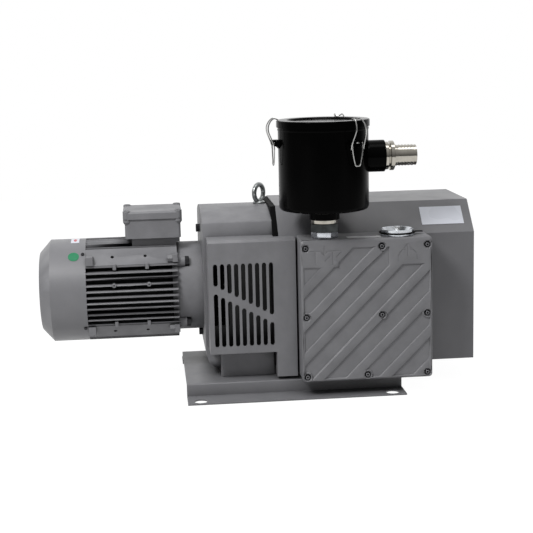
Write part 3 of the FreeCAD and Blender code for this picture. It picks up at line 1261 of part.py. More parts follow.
def motor_bearings():
    """Two ball bearings of the motor."""
    rings = [ring_x(MOTOR_BEARING_RADIUS, MOTOR_SHAFT_RADIUS + RUNNING_CLEARANCE, x, x + MOTOR_BEARING_WIDTH)
             for x in motor_bearing_places()]
    return group(rings)


# Terminal box

def terminal_corners(inset):
    """Return the (x, y) places of the four lid screws."""
    half_x = TERMINAL_LENGTH / 2 - inset
    half_y = TERMINAL_DEPTH / 2 - inset
    return [(TERMINAL_X + sx * half_x, AXIS_Y + sy * half_y) for sx in (-1, 1) for sy in (-1, 1)]


def terminal_block(overhang, z0, z1, radius):
    """Return a box on the terminal box's centre with rounded upright edges."""
    half_x = TERMINAL_LENGTH / 2 + overhang
    half_y = TERMINAL_DEPTH / 2 + overhang
    return prism_z(rounded_rectangle(TERMINAL_X - half_x, TERMINAL_X + half_x, AXIS_Y - half_y,
                                     AXIS_Y + half_y, radius), z0, z1)


def terminal_box():
    """Cast terminal box with screw posts in its corners and two entries at the back."""
    body = terminal_block(0.0, TERMINAL_BOTTOM_Z, TERMINAL_JOINT_Z, TERMINAL_CORNER)
    room = terminal_block(-TERMINAL_WALL, TERMINAL_BOTTOM_Z + TERMINAL_WALL, TERMINAL_JOINT_Z + CUT_MARGIN,
                          TERMINAL_CORNER / 2)
    hole = TERMINAL_SCREW_RADIUS + RUNNING_CLEARANCE
    for x, y in terminal_corners(TERMINAL_POST_INSET):
        room = room.cut(rod_z(TERMINAL_POST_RADIUS, TERMINAL_BOTTOM_Z, TERMINAL_JOINT_Z + 2, x, y))
    body = body.cut(room)
    for x, y in terminal_corners(TERMINAL_POST_INSET):
        body = body.cut(rod_z(hole, TERMINAL_JOINT_Z - TERMINAL_SCREW_DEPTH - CUT_MARGIN,
                              TERMINAL_JOINT_Z + CUT_MARGIN, x, y))
    for x, z in entry_places():
        back_y = AXIS_Y + TERMINAL_DEPTH / 2
        body = body.cut(rod_y(ENTRY_RADIUS, back_y - TERMINAL_WALL - 1, back_y + 1, x, z))
    return body


def entry_places():
    """Return x and z of the two cable entries."""
    z = (TERMINAL_BOTTOM_Z + TERMINAL_JOINT_Z) / 2
    return [(TERMINAL_X + s * ENTRY_PITCH / 2, z) for s in (-1, 1)]


def entry_plugs():
    """Blanking plugs in the two cable entries."""
    plugs = []
    back_y = AXIS_Y + TERMINAL_DEPTH / 2
    for x, z in entry_places():
        stem = rod_y(ENTRY_RADIUS - RUNNING_CLEARANCE, back_y - TERMINAL_WALL, back_y, x, z)
        plugs.append(stem.fuse(rod_y(ENTRY_RADIUS + ENTRY_PLUG_RIM, back_y, back_y + ENTRY_PLUG_HEIGHT, x, z)))
    return group(plugs)


def terminal_lid():
    """Lid with a raised corner lug over each screw."""
    z0, z1 = TERMINAL_JOINT_Z, TERMINAL_JOINT_Z + TERMINAL_LID_THICKNESS
    lid = terminal_block(TERMINAL_LID_OVERHANG, z0, z1, TERMINAL_LID_CORNER)
    lid = chamfered(lid, TERMINAL_LID_CHAMFER, lambda a, b: min(a.z, b.z) > z1 - 0.1)
    hollow = terminal_block(-TERMINAL_WALL, z0 - CUT_MARGIN, z1 - TERMINAL_WALL, TERMINAL_CORNER / 2)
    for x, y in terminal_corners(TERMINAL_POST_INSET):
        hollow = hollow.cut(rod_z(TERMINAL_POST_RADIUS, z0 - 2 * CUT_MARGIN, z1, x, y))
    lid = lid.cut(hollow)
    hole = TERMINAL_SCREW_RADIUS + RUNNING_CLEARANCE
    sink = TERMINAL_SCREW_HEAD_RADIUS + CUT_MARGIN
    for x, y in terminal_corners(TERMINAL_POST_INSET):
        lid = lid.cut(rod_z(hole, z0 - CUT_MARGIN, z1 + CUT_MARGIN, x, y))
        lid = lid.cut(rod_z(sink, z1 - TERMINAL_SCREW_SINK, z1 + CUT_MARGIN, x, y))
    return lid


def terminal_screws():
    """Four screws that hold the terminal box lid."""
    z0 = TERMINAL_JOINT_Z - TERMINAL_SCREW_DEPTH
    z1 = TERMINAL_JOINT_Z + TERMINAL_LID_THICKNESS - TERMINAL_SCREW_SINK
    z2 = z1 + TERMINAL_SCREW_HEAD_HEIGHT
    return group([rod_z(TERMINAL_SCREW_RADIUS, z0, z1, x, y).fuse(rod_z(TERMINAL_SCREW_HEAD_RADIUS, z1, z2, x, y))
                  for x, y in terminal_corners(TERMINAL_POST_INSET)])


def terminal_board():
    """Terminal board with six studs."""
    z0 = TERMINAL_BOTTOM_Z + TERMINAL_WALL
    z1 = z0 + BOARD_THICKNESS
    board = box(TERMINAL_X - BOARD_LENGTH / 2, TERMINAL_X + BOARD_LENGTH / 2, AXIS_Y - BOARD_WIDTH / 2,
                AXIS_Y + BOARD_WIDTH / 2, z0, z1)
    for column in (-1, 0, 1):
        for row in (-1, 1):
            x = TERMINAL_X + column * STUD_PITCH_X
            board = board.fuse(rod_z(STUD_RADIUS, z1 - CUT_MARGIN, z1 + STUD_HEIGHT, x, AXIS_Y + row * STUD_PITCH_Y / 2))
    return board


# Air inlet cover

def grille_cover():
    """Cast cover in front of the fan chamber, with slots broken by a slanting bar."""
    x0, x1 = GRILLE_LEFT_X, GRILLE_RIGHT_X
    y0, y1 = GRILLE_FRONT_Y, HOUSING_FRONT_Y
    top = HOUSING_SHOULDER_Z
    outline = [(x0, GRILLE_BOTTOM_Z), (GRILLE_FOOT_X, GRILLE_BOTTOM_Z), (GRILLE_FOOT_X, GRILLE_FOOT_Z),
               (x1, GRILLE_FOOT_Z), (x1, top), (x0, top)]
    shell = prism_y(outline, y0, y1)
    shell = chamfered(shell, GRILLE_EDGE, lambda a, b: max(a.y, b.y) < y0 + 0.1 and min(a.z, b.z) > top - 0.1)
    wall = GRILLE_WALL
    step_x = GRILLE_FOOT_X
    step_y = HOOD_FRONT_Y - GRILLE_HOOD_GAP
    shell = shell.cut(box(step_x, x1 + 1, step_y, y1 + 1, GRILLE_FOOT_Z - 1, top + 1))
    left = box(x0 + wall, step_x - wall, y0 + wall, y1 + 1, GRILLE_BOTTOM_Z + wall, top - wall)
    right = box(step_x + wall, x1 - wall, y0 + wall, step_y + 1, GRILLE_FOOT_Z + wall, top - wall)
    link = box(step_x - wall - 1, step_x + wall + 1, y0 + wall, step_y - wall, GRILLE_BOTTOM_Z + wall, top - wall)
    shell = shell.cut(left.fuse(right).fuse(link))
    slots = []
    for k in range(GRILLE_SLOTS):
        x = x0 + GRILLE_FIRST_SLOT + k * GRILLE_SLOT_PITCH
        bar = GRILLE_BAR_START_Z - k * GRILLE_BAR_DROP
        above, below = bar + GRILLE_BAR_HEIGHT / 2, bar - GRILLE_BAR_HEIGHT / 2
        for low, high in ((above, GRILLE_SLOT_TOP_Z), (GRILLE_SLOT_BOTTOM_Z, below)):
            slots.append(slot_y(x, low, high, GRILLE_SLOT_WIDTH, y0 - 1, y0 + wall + 1))
    return shell.cut(group(slots))


# Acoustic hood

def hood_outline(inset, bottom):
    """Return the (y, z) outline of the hood, drawn inwards by an inset."""
    slope = inset * math.tan(math.radians(22.5))
    half, top_half = HOOD_HALF_WIDTH - inset, HOOD_TOP_HALF_WIDTH - slope
    knee, top = HOOD_KNEE_Z - slope, HOOD_TOP_Z - inset
    outline = [(-half, bottom), (half, bottom), (half, knee), (top_half, top), (-top_half, top), (-half, knee)]
    return [(AXIS_Y + y, z) for y, z in outline]


def acoustic_hood():
    """Sheet-metal hood over the cylinder, open below and towards the gear housing."""
    shell = prism_x(hood_outline(0.0, HOOD_BOTTOM_Z), HOOD_LEFT_X, HOOD_RIGHT_X)
    room = prism_x(hood_outline(HOOD_SHEET, HOOD_BOTTOM_Z - 1), HOOD_LEFT_X - 1, HOOD_RIGHT_X - HOOD_SHEET)
    shell = shell.cut(room)
    for x, z in port_places():
        hole = PORT_RADIUS + PORT_WALL + 1
        shell = shell.cut(rod_y(hole, HOOD_FRONT_Y - 1, HOOD_FRONT_Y + HOOD_SHEET + 1, x, z))
    return shell


def hood_seal():
    """Rubber collar that closes the gap between the gear housing and the hood."""
    x1 = HOOD_LEFT_X + SEAL_LIP
    collar = prism_x(hood_outline(HOOD_SHEET, HOOD_BOTTOM_Z), HOUSING_RIGHT_X, x1)
    inner = prism_x(hood_outline(HOOD_SHEET + SEAL_WALL, HOOD_BOTTOM_Z - CUT_MARGIN),
                    HOUSING_RIGHT_X + SEAL_FLANGE, x1 + CUT_MARGIN)
    throat = twin_rods(CLAW_RADIUS + CYLINDER_WALL + FIT_CLEARANCE, HOUSING_RIGHT_X - CUT_MARGIN, x1 + CUT_MARGIN)
    below = box(HOUSING_RIGHT_X - 1, x1 + 1, AXIS_Y - CLAW_RADIUS, AXIS_Y + CLAW_RADIUS, 0, DRIVE_AXIS_Z)
    return collar.cut(inner).cut(throat).cut(below)


# Silencer

def screw_places():
    """Return x and z of the nine silencer cover screws."""
    left, right = SILENCER_LEFT_X + SCREW_INSET, SILENCER_RIGHT_X - SCREW_INSET
    bottom = SILENCER_BOTTOM_Z + SCREW_INSET
    top = SILENCER_TOP_Z - SILENCER_CORNER - SCREW_INSET
    middle_x = SILENCER_LEFT_X + MIDDLE_SCREW_X
    middle_z = SILENCER_BOTTOM_Z + MIDDLE_SCREW_Z
    places = [(left, top), (middle_x, top), (right, top), (left, middle_z), (middle_x, middle_z),
              (right, middle_z), (left, bottom), (SILENCER_LEFT_X + LOWER_SCREW_X, bottom), (right, bottom)]
    return places


def silencer_block(y0, y1):
    """Return the silencer's outer block between two depths, with rounded corners."""
    return prism_y(rounded_rectangle(SILENCER_LEFT_X, SILENCER_RIGHT_X, SILENCER_BOTTOM_Z, SILENCER_TOP_Z,
                                     SILENCER_CORNER), y0, y1)


def silencer_room(y0, y1, inset):
    """Return the space inside the silencer's walls between two depths, less the screw posts."""
    room = box(SILENCER_LEFT_X + inset, SILENCER_RIGHT_X - inset, y0, y1,
               SILENCER_BOTTOM_Z + inset, SILENCER_TOP_Z - inset)
    divider_x = SILENCER_LEFT_X + LOWER_SCREW_X
    half = SILENCER_WALL / 2
    room = room.cut(box(divider_x - half, divider_x + half, y0 - 1, y1 + 1, SILENCER_BOTTOM_Z, SILENCER_TOP_Z))
    for x, z in screw_places():
        room = room.cut(rod_y(POST_RADIUS, y0 - 1, y1 + 1, x, z))
    return room


def silencer_body():
    """Cast silencer box with a dividing wall, screw posts, top bores and port holes."""
    body = silencer_block(BODY_FRONT_Y, SILENCER_BACK_Y)
    body = body.cut(silencer_room(BODY_FRONT_Y - 1, SILENCER_BACK_Y - SILENCER_WALL, SILENCER_WALL))
    for x, z in screw_places():
        body = body.cut(rod_y(CAP_SHANK_RADIUS + RUNNING_CLEARANCE, BODY_FRONT_Y - CUT_MARGIN,
                              BODY_FRONT_Y + CAP_SHANK_DEPTH + CUT_MARGIN, x, z))
    for x, z in port_places():
        body = body.cut(rod_y(PORT_RADIUS, SILENCER_BACK_Y - SILENCER_WALL - 1, SILENCER_BACK_Y + 1, x, z))
    body = body.cut(rod_z(INLET_SPIGOT_RADIUS, SILENCER_TOP_Z - SILENCER_WALL - 1, SILENCER_TOP_Z + 1,
                          FILTER_X, FILTER_Y))
    return body.cut(rod_z(OUTLET_SPIGOT_RADIUS, SILENCER_TOP_Z - SILENCER_WALL - 1, SILENCER_TOP_Z + 1,
                          OUTLET_X, FILTER_Y))


def silencer_gasket():
    """Flat gasket between the silencer box and its cover."""
    inset = GASKET_INSET
    outline = rounded_rectangle(SILENCER_LEFT_X + inset, SILENCER_RIGHT_X - inset, SILENCER_BOTTOM_Z + inset,
                                SILENCER_TOP_Z - inset, SILENCER_CORNER - inset)
    sheet = prism_y(outline, COVER_BACK_Y, BODY_FRONT_Y)
    sheet = sheet.cut(silencer_room(COVER_BACK_Y - 1, BODY_FRONT_Y + 1, SILENCER_WALL))
    for x, z in screw_places():
        sheet = sheet.cut(rod_y(CAP_SHANK_RADIUS + RUNNING_CLEARANCE, COVER_BACK_Y - 1, BODY_FRONT_Y + 1, x, z))
    return sheet


def cover_pockets():
    """Return the slanting pockets of the cover, clear of its screws and symbols."""
    x0, z0 = SILENCER_LEFT_X, SILENCER_BOTTOM_Z
    y0, y1 = SILENCER_FRONT_Y - 1, SILENCER_FRONT_Y + POCKET_DEPTH
    left, right = x0 + POCKET_MARGIN, SILENCER_RIGHT_X - POCKET_MARGIN
    low = z0 + POCKET_MARGIN
    high = SILENCER_TOP_Z - SILENCER_CORNER - SCREW_INSET - POCKET_MARGIN / 3
    frame = box(left, right, y0, y1, low, high)
    symbols_z = SILENCER_TOP_Z - SYMBOL_HEIGHT - SILENCER_CORNER
    frame = frame.cut(box(left - 1, left + INLET_SYMBOL_WIDTH, y0 - 1, y1 + 1, symbols_z, high + 1))
    frame = frame.cut(box(right + 1 - OUTLET_SYMBOL_WIDTH, right + 1, y0 - 1, y1 + 1, symbols_z, high + 1))
    for x, z in screw_places():
        frame = frame.cut(rod_y(SCREW_CLEAR_RADIUS, y0 - 1, y1 + 1, x, z))
    pockets = []
    for k in range(POCKET_COUNT):
        upper = POCKET_FIRST - k * POCKET_PITCH
        lower = upper - POCKET_WIDTH
        reach = SILENCER_LENGTH
        band = prism_y([(x0, z0 + upper), (x0, z0 + lower), (x0 + reach, z0 + lower + reach),
                        (x0 + reach, z0 + upper + reach)], y0, y1)
        pockets += [solid for solid in frame.common(band).Solids if solid.Volume > 100]
    return pockets


def silencer_cover():
    """Cast cover with slanting pockets and counterbored screw holes."""
    cover = silencer_block(SILENCER_FRONT_Y, COVER_BACK_Y)
    cover = chamfered(cover, COVER_CHAMFER, lambda a, b: max(a.y, b.y) < SILENCER_FRONT_Y + 0.1)
    cuts = cover_pockets()
    for x, z in screw_places():
        cuts.append(rod_y(CAP_HEAD_RADIUS + COUNTERBORE_CLEARANCE, SILENCER_FRONT_Y - 1,
                          SILENCER_FRONT_Y + COUNTERBORE_DEPTH, x, z))
        cuts.append(rod_y(CAP_SHANK_RADIUS + RUNNING_CLEARANCE, SILENCER_FRONT_Y, COVER_BACK_Y + 1, x, z))
    for cut in cuts:
        cover = cover.cut(cut)
    return cover


def silencer_screws():
    """Nine socket-head screws of the silencer cover."""
    screws = []
    seat = SILENCER_FRONT_Y + COUNTERBORE_DEPTH
    for x, z in screw_places():
        head = rod_y(CAP_HEAD_RADIUS, seat - CAP_HEAD_HEIGHT, seat, x, z)
        screws.append(head.fuse(rod_y(CAP_SHANK_RADIUS, seat, BODY_FRONT_Y + CAP_SHANK_DEPTH, x, z)))
    return group(screws)


# Inlet fitting and check valve

def inlet_fitting():
    """Zinc-plated union between silencer and filter, with a guide for the check valve."""
    x, y = FILTER_X, FILTER_Y
    fitting = hexagon_z(HEX_ACROSS_FLATS, SILENCER_TOP_Z, UNION_Z, x, y, HEX_TURN)
    union_flats = 2 * UNION_RADIUS * math.cos(math.pi / 6)
    fitting = fitting.fuse(hexagon_z(union_flats, UNION_Z, COLLAR_Z, x, y, UNION_TURN))
    fitting = fitting.fuse(rod_z(COLLAR_RADIUS, COLLAR_Z, NECK_Z, x, y))
    fitting = fitting.fuse(rod_z(INLET_SPIGOT_RADIUS, SILENCER_TOP_Z - SILENCER_WALL, SILENCER_TOP_Z, x, y))
    fitting = fitting.cut(rod_z(INLET_BORE_RADIUS, SILENCER_TOP_Z - SILENCER_WALL - 1, NECK_Z + 1, x, y))
    guide = rod_z(VALVE_STEM_RADIUS + VALVE_GUIDE_WALL, UNION_Z - VALVE_GUIDE_HEIGHT, UNION_Z, x, y)
    for k in range(3):
        arm = box(x, x + INLET_BORE_RADIUS + 1, y - 2, y + 2, UNION_Z - VALVE_GUIDE_HEIGHT, UNION_Z)
        arm.rotate(V(x, y, 0), V(0, 0, 1), 120 * k)
        guide = guide.fuse(arm)
    fitting = fitting.fuse(guide)
    return fitting.cut(rod_z(VALVE_STEM_RADIUS + RUNNING_CLEARANCE, UNION_Z - VALVE_GUIDE_HEIGHT - 1,
                             UNION_Z + 1, x, y))


def valve_top_z():
    """Return the height of the valve plate's sealing face at rest."""
    return SILENCER_TOP_Z - SILENCER_WALL - FIT_CLEARANCE


def check_valve():
    """Check valve plate with its stem and spring collar."""
    x, y = FILTER_X, FILTER_Y
    top = valve_top_z()
    plate = rod_z(VALVE_PLATE_RADIUS, top - VALVE_PLATE_THICKNESS, top, x, y)
    stem = rod_z(VALVE_STEM_RADIUS, top, UNION_Z + VALVE_STEM_LENGTH, x, y)
    collar_z = UNION_Z + VALVE_STEM_LENGTH - VALVE_COLLAR_HEIGHT
    return plate.fuse(stem).fuse(rod_z(VALVE_COLLAR_RADIUS, collar_z, collar_z + VALVE_COLLAR_HEIGHT, x, y))


def check_valve_spring():
    """Light coil spring that holds the valve plate up against its seat."""
    low = UNION_Z + SPRING_WIRE + FIT_CLEARANCE
    high = UNION_Z + VALVE_STEM_LENGTH - VALVE_COLLAR_HEIGHT - SPRING_WIRE - FIT_CLEARANCE
    runs = SPRING_TURNS * SPRING_RUNS
    path = []
    for k in range(runs + 1):
        a = 2 * math.pi * k / SPRING_RUNS
        path.append(V(FILTER_X + SPRING_RADIUS * math.cos(a), FILTER_Y + SPRING_RADIUS * math.sin(a),
                      low + (high - low) * k / runs))
    return bent_wire(path, SPRING_WIRE)


# Filter

def filter_canister():
    """Black canister with its bottom neck, side socket and three clip brackets."""
    outer, wall, edge = CANISTER_RADIUS, CANISTER_SHEET, CANISTER_EDGE
    low, high = CANISTER_Z, CANISTER_TOP_Z
    bore = NECK_RADIUS - NECK_WALL
    profile = [(bore, NECK_Z), (NECK_RADIUS, NECK_Z), (NECK_RADIUS, low), (outer - edge, low),
               (outer - edge * 0.3, low + edge * 0.3), (outer, low + edge), (outer, high), (outer - wall, high),
               (outer - wall, low + edge), (outer - edge, low + wall), (bore, low + wall)]
    can = turned_z(profile, FILTER_X, FILTER_Y)
    socket = rod_x(SOCKET_RADIUS, FILTER_X + outer - 6, FILTER_X + SOCKET_REACH, FILTER_Y, SOCKET_Z)
    inside = rod_z(outer - wall / 2, low, high, FILTER_X, FILTER_Y)
    can = can.fuse(socket.cut(inside))
    can = can.cut(rod_x(SOCKET_BORE, FILTER_X + outer * 0.8, FILTER_X + SOCKET_REACH + 1, FILTER_Y, SOCKET_Z))
    for angle in CLIP_ANGLES.values():
        can = can.fuse(around_filter(clip_bracket(), angle))
    return can


def clip_bracket():
    """Return one clip bracket, drawn at the angle zero: two ears on a small web."""
    x0 = FILTER_X + CANISTER_RADIUS - 0.6
    x1 = FILTER_X + CLIP_PIVOT_RADIUS + CLIP_WIRE + 3
    z1 = CLIP_PIVOT_Z + BRACKET_HEIGHT * 0.3
    z0 = z1 - BRACKET_HEIGHT
    half = BRACKET_HALF_WIDTH
    bracket = box(x0, x0 + BRACKET_SHEET, FILTER_Y - half, FILTER_Y + half, z0, z1)
    pin = circle_points(CLIP_WIRE + RUNNING_CLEARANCE, FILTER_X + CLIP_PIVOT_RADIUS, CLIP_PIVOT_Z, True)
    hole = prism_y(pin, FILTER_Y - half - CUT_MARGIN, FILTER_Y + half + CUT_MARGIN)
    for side in (-1, 1):
        y0, y1 = sorted((FILTER_Y + side * half, FILTER_Y + side * (half - BRACKET_SHEET)))
        ear = prism_y([(x0, z0), (x1, CLIP_PIVOT_Z - CLIP_WIRE - 3), (x1, z1), (x0, z1)], y0, y1)
        bracket = bracket.fuse(ear)
    return bracket.cut(hole)


def bent_wire(points, radius):
    """Return an eight-sided wire of a radius that follows straight runs with mitred corners."""
    path = Part.makePolygon(points)
    along = (points[1] - points[0]).normalize()
    side = along.cross(V(0, 0, 1) if abs(along.z) < 0.9 else V(1, 0, 0)).normalize()
    up = along.cross(side).normalize()
    corners = []
    for k in range(9):
        a = math.radians(45 * k + 22.5)
        corners.append(points[0] + side * (radius * math.cos(a)) + up * (radius * math.sin(a)))
    return path.makePipeShell([Part.makePolygon(corners)], True, False, 1)


def clip_point(radius, sideways, z):
    """Return a point of a clip drawn at the angle zero."""
    return V(FILTER_X + radius, FILTER_Y + sideways, z)


def clip_lever():
    """Wire lever: pivot pin through the ears, then two legs down to the tail loop."""
    pivot, wide, tail = CLIP_PIVOT_RADIUS, CLIP_HALF_WIDTH, CLIP_TAIL_HALF_WIDTH
    z = CLIP_PIVOT_Z
    low = z - CLIP_TAIL
    points = [clip_point(pivot, 0, z), clip_point(pivot, wide, z), clip_point(pivot, wide, z - CLIP_CRANK - 4),
              clip_point(pivot - 1, tail, low + 8), clip_point(pivot + 1, tail * 0.5, low)]
    mirrored = [V(p.x, 2 * FILTER_Y - p.y, p.z) for p in points]
    return bent_wire(points + mirrored[::-1], CLIP_WIRE)


def hook_half_width():
    """Return how far the hook's legs stand from the clip's middle, outside the lever."""
    return CLIP_HALF_WIDTH + 2 * CLIP_WIRE + FIT_CLEARANCE


def clip_hook():
    """Wire hook: from the lever's crank, bowed outwards and over the edge of the lid."""
    pivot, wide, top = CLIP_PIVOT_RADIUS, hook_half_width(), CLIP_HOOK_HALF_WIDTH
    z = CLIP_PIVOT_Z - CLIP_CRANK
    rest = LID_TOP_Z + CLIP_WIRE + FIT_CLEARANCE
    apex = rest + 5
    bulge_z = CLIP_PIVOT_Z + CLIP_BULGE_RISE
    points = [clip_point(pivot, wide - CLIP_WIRE, z), clip_point(pivot, wide, z),
              clip_point(pivot + 4, wide, z + 14), clip_point(CLIP_BULGE_RADIUS, wide * 0.82, bulge_z),
              clip_point(CLIP_BULGE_RADIUS - 3, wide * 0.7, bulge_z + 12), clip_point(pivot, top, apex),
              clip_point(LID_RADIUS - 3.5, top * 0.8, rest)]
    mirrored = [V(p.x, 2 * FILTER_Y - p.y, p.z) for p in points]
    return bent_wire(points[1:] + mirrored[:0:-1], CLIP_WIRE)


def filter_lid():
    """Pressed lid with a skirt over the canister's edge and a raised ring."""
    skirt_z = CANISTER_TOP_Z - LID_SKIRT
    sheet = CANISTER_SHEET
    inner = LID_RADIUS - sheet
    profile = [(0, CANISTER_TOP_Z + 2), (0, CANISTER_TOP_Z), (inner, CANISTER_TOP_Z), (inner, skirt_z),
               (LID_RADIUS, skirt_z), (LID_RADIUS, LID_TOP_Z - 2), (LID_RADIUS - 2, LID_TOP_Z),
               (LID_RING_RADIUS, LID_TOP_Z), (LID_RING_RADIUS - 4, CANISTER_TOP_Z + 2)]
    return turned_z(profile, FILTER_X, FILTER_Y)


def filter_cartridge():
    """Paper cartridge with two end caps."""
    low = CANISTER_Z + CANISTER_SHEET
    high = CANISTER_TOP_Z - FIT_CLEARANCE
    x, y = FILTER_X, FILTER_Y
    paper = rod_z(CARTRIDGE_RADIUS, low, high, x, y)
    caps = rod_z(CARTRIDGE_RADIUS + 3, low, low + CARTRIDGE_CAP, x, y)
    caps = caps.fuse(rod_z(CARTRIDGE_RADIUS + 3, high - CARTRIDGE_CAP, high, x, y))
    return paper.fuse(caps).cut(rod_z(CARTRIDGE_BORE, low - 1, high - CARTRIDGE_CAP, x, y))


def hose_nozzle():
    """Turned nozzle with a flange, a wrench ring and barbs for the hose."""
    x0 = FILTER_X + SOCKET_REACH
    x1 = x0 + NOZZLE_FLANGE_LENGTH
    x2 = x1 + NOZZLE_HEX_LENGTH
    x3 = x2 + NOZZLE_LENGTH
    plug = SOCKET_BORE - RUNNING_CLEARANCE
    groove = x1 + NOZZLE_GROOVE
    profile = [(x0 - NOZZLE_PLUG, 0), (x0 - NOZZLE_PLUG, plug), (x0, plug), (x0, NOZZLE_FLANGE_RADIUS),
               (x1, NOZZLE_FLANGE_RADIUS), (x1, plug), (groove, plug),
               (groove, NOZZLE_HEX_RADIUS), (x2, NOZZLE_HEX_RADIUS), (x2, NOZZLE_RADIUS)]
    pitch = NOZZLE_LENGTH / (NOZZLE_BARBS + 1)
    for k in range(1, NOZZLE_BARBS + 1):
        x = x2 + k * pitch
        profile += [(x, NOZZLE_RADIUS), (x, NOZZLE_RADIUS - NOZZLE_BARB_DEPTH)]
    profile += [(x3, NOZZLE_RADIUS - NOZZLE_BARB_DEPTH), (x3, 0)]
    bore = Part.makeCylinder(NOZZLE_BORE, x3 - x0 + NOZZLE_PLUG + 2 * CUT_MARGIN,
                             V(x0 - NOZZLE_PLUG - CUT_MARGIN, FILTER_Y, SOCKET_Z), V(1, 0, 0))
    return turned_x(profile, FILTER_Y, SOCKET_Z).cut(bore)


# Outlet fitting

def outlet_ring():
    """Plated outlet socket with a flange under and above its seal."""
    z0 = SILENCER_TOP_Z
    z1 = z0 + OUTLET_NUT_HEIGHT
    z2 = z1 + OUTLET_SEAL_HEIGHT
    z3 = z2 + OUTLET_RING_HEIGHT
    spigot = OUTLET_SPIGOT_RADIUS
    neck = spigot + OUTLET_WALL
    bore = spigot - OUTLET_WALL
    profile = [(0, z0 - SILENCER_WALL), (spigot, z0 - SILENCER_WALL), (spigot, z0),
               (OUTLET_NUT_RADIUS, z0), (OUTLET_NUT_RADIUS, z1), (neck, z1), (neck, z2),
               (OUTLET_RING_RADIUS, z2), (OUTLET_RING_RADIUS, z3 - OUTLET_RING_EDGE),
               (OUTLET_RING_RADIUS - OUTLET_RING_EDGE, z3), (0, z3)]
    hole = Part.makeCylinder(bore, z3 - z0 + SILENCER_WALL + 2 * CUT_MARGIN,
                             V(OUTLET_X, FILTER_Y, z0 - SILENCER_WALL - CUT_MARGIN))
    return turned_z(profile, OUTLET_X, FILTER_Y).cut(hole)


def outlet_seal():
    """Rubber ring in the groove of the outlet socket."""
    z1 = SILENCER_TOP_Z + OUTLET_NUT_HEIGHT
    ring = rod_z(OUTLET_SEAL_RADIUS, z1, z1 + OUTLET_SEAL_HEIGHT, OUTLET_X, FILTER_Y)
    neck = OUTLET_SPIGOT_RADIUS + OUTLET_WALL
    return ring.cut(rod_z(neck, z1 - 1, z1 + OUTLET_SEAL_HEIGHT + 1, OUTLET_X, FILTER_Y))


def pieces():
    """Return every piece by name, in the order in which the pump is put together."""
    named = {
        "base_frame": base_frame(), "front_foot": front_foot(), "gear_housing": gear_housing(),
        "hex_bolts": hex_bolts(), "eye_bolt": eye_bolt(), "oil_sight_glass": oil_sight_glass(),
        "oil_plugs": oil_plugs(), "motor_lantern": motor_lantern(),
        "coupling_motor_hub": coupling_motor_hub(), "coupling_spider": coupling_spider(),
        "coupling_pump_hub": coupling_pump_hub(), "drive_shaft": drive_shaft(),
        "driven_shaft": driven_shaft(), "cooling_fan": cooling_fan(), "drive_gear": drive_gear(),
        "driven_gear": driven_gear(), "drive_claw": drive_claw(), "driven_claw": driven_claw(),
        "shaft_bearings": shaft_bearings(), "shaft_seals": shaft_seals(),
        "cylinder_plate": cylinder_plate(), "pump_cylinder": pump_cylinder(), "end_cover": end_cover(),
        "motor_frame": motor_frame(), "drive_end_shield": drive_end_shield(),
        "fan_end_shield": fan_end_shield(), "motor_stator": motor_stator(), "motor_rotor": motor_rotor(),
        "motor_shaft": motor_shaft(), "motor_bearings": motor_bearings(), "motor_fan": motor_fan(),
        "fan_cowl": fan_cowl(), "cowl_screws": cowl_screws(), "terminal_box": terminal_box(),
        "entry_plugs": entry_plugs(), "terminal_lid": terminal_lid(), "terminal_screws": terminal_screws(),
        "terminal_board": terminal_board(), "grille_cover": grille_cover(),
        "acoustic_hood": acoustic_hood(), "hood_seal": hood_seal(), "silencer_body": silencer_body(),
        "silencer_gasket": silencer_gasket(), "silencer_cover": silencer_cover(),
        "silencer_screws": silencer_screws(), "inlet_fitting": inlet_fitting(),
        "check_valve": check_valve(), "check_valve_spring": check_valve_spring(),
        "filter_canister": filter_canister(), "filter_lid": filter_lid(),
        "filter_cartridge": filter_cartridge(), "hose_nozzle": hose_nozzle(),
        "outlet_ring": outlet_ring(), "outlet_seal": outlet_seal(),
    }
    for side, angle in CLIP_ANGLES.items():
        named["clip_lever_" + side] = around_filter(clip_lever(), angle)
        named["clip_hook_" + side] = around_filter(clip_hook(), angle)
    return named


os.makedirs("parts", exist_ok=True)
for name, shape in pieces().items():
    shape.exportStep(os.path.join("parts", name + ".step"))
    box_of = shape.BoundBox
    print("%-20s %2d solids  valid %s  volume %10.0f  x %7.1f %7.1f  y %7.1f %7.1f  z %6.1f %6.1f"
          % (name, len(shape.Solids), shape.isValid(), shape.Volume, box_of.XMin, box_of.XMax,
             box_of.YMin, box_of.YMax, box_of.ZMin, box_of.ZMax))
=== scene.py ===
import logging
import math
from dataclasses import dataclass
from enum import Enum
from typing import Callable, Optional, Sequence, Union

import bmesh
import bpy
from bpy.types import ID, Material, Node, NodeSocket, NodeTree, Object
from mathutils import Matrix, Vector


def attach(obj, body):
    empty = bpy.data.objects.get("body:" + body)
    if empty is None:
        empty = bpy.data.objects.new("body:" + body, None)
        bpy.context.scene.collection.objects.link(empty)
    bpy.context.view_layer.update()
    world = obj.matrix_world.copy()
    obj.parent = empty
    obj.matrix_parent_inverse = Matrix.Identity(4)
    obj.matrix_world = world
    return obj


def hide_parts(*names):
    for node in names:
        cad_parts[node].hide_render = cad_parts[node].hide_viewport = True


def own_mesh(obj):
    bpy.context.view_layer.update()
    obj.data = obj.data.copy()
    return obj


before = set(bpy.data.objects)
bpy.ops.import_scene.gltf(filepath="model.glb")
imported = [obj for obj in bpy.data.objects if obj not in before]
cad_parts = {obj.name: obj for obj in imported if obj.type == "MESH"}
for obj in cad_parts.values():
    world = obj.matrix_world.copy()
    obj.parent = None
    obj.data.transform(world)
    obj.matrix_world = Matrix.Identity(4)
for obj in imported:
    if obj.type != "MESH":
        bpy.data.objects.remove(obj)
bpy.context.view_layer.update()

BMesh = bmesh.types.BMesh
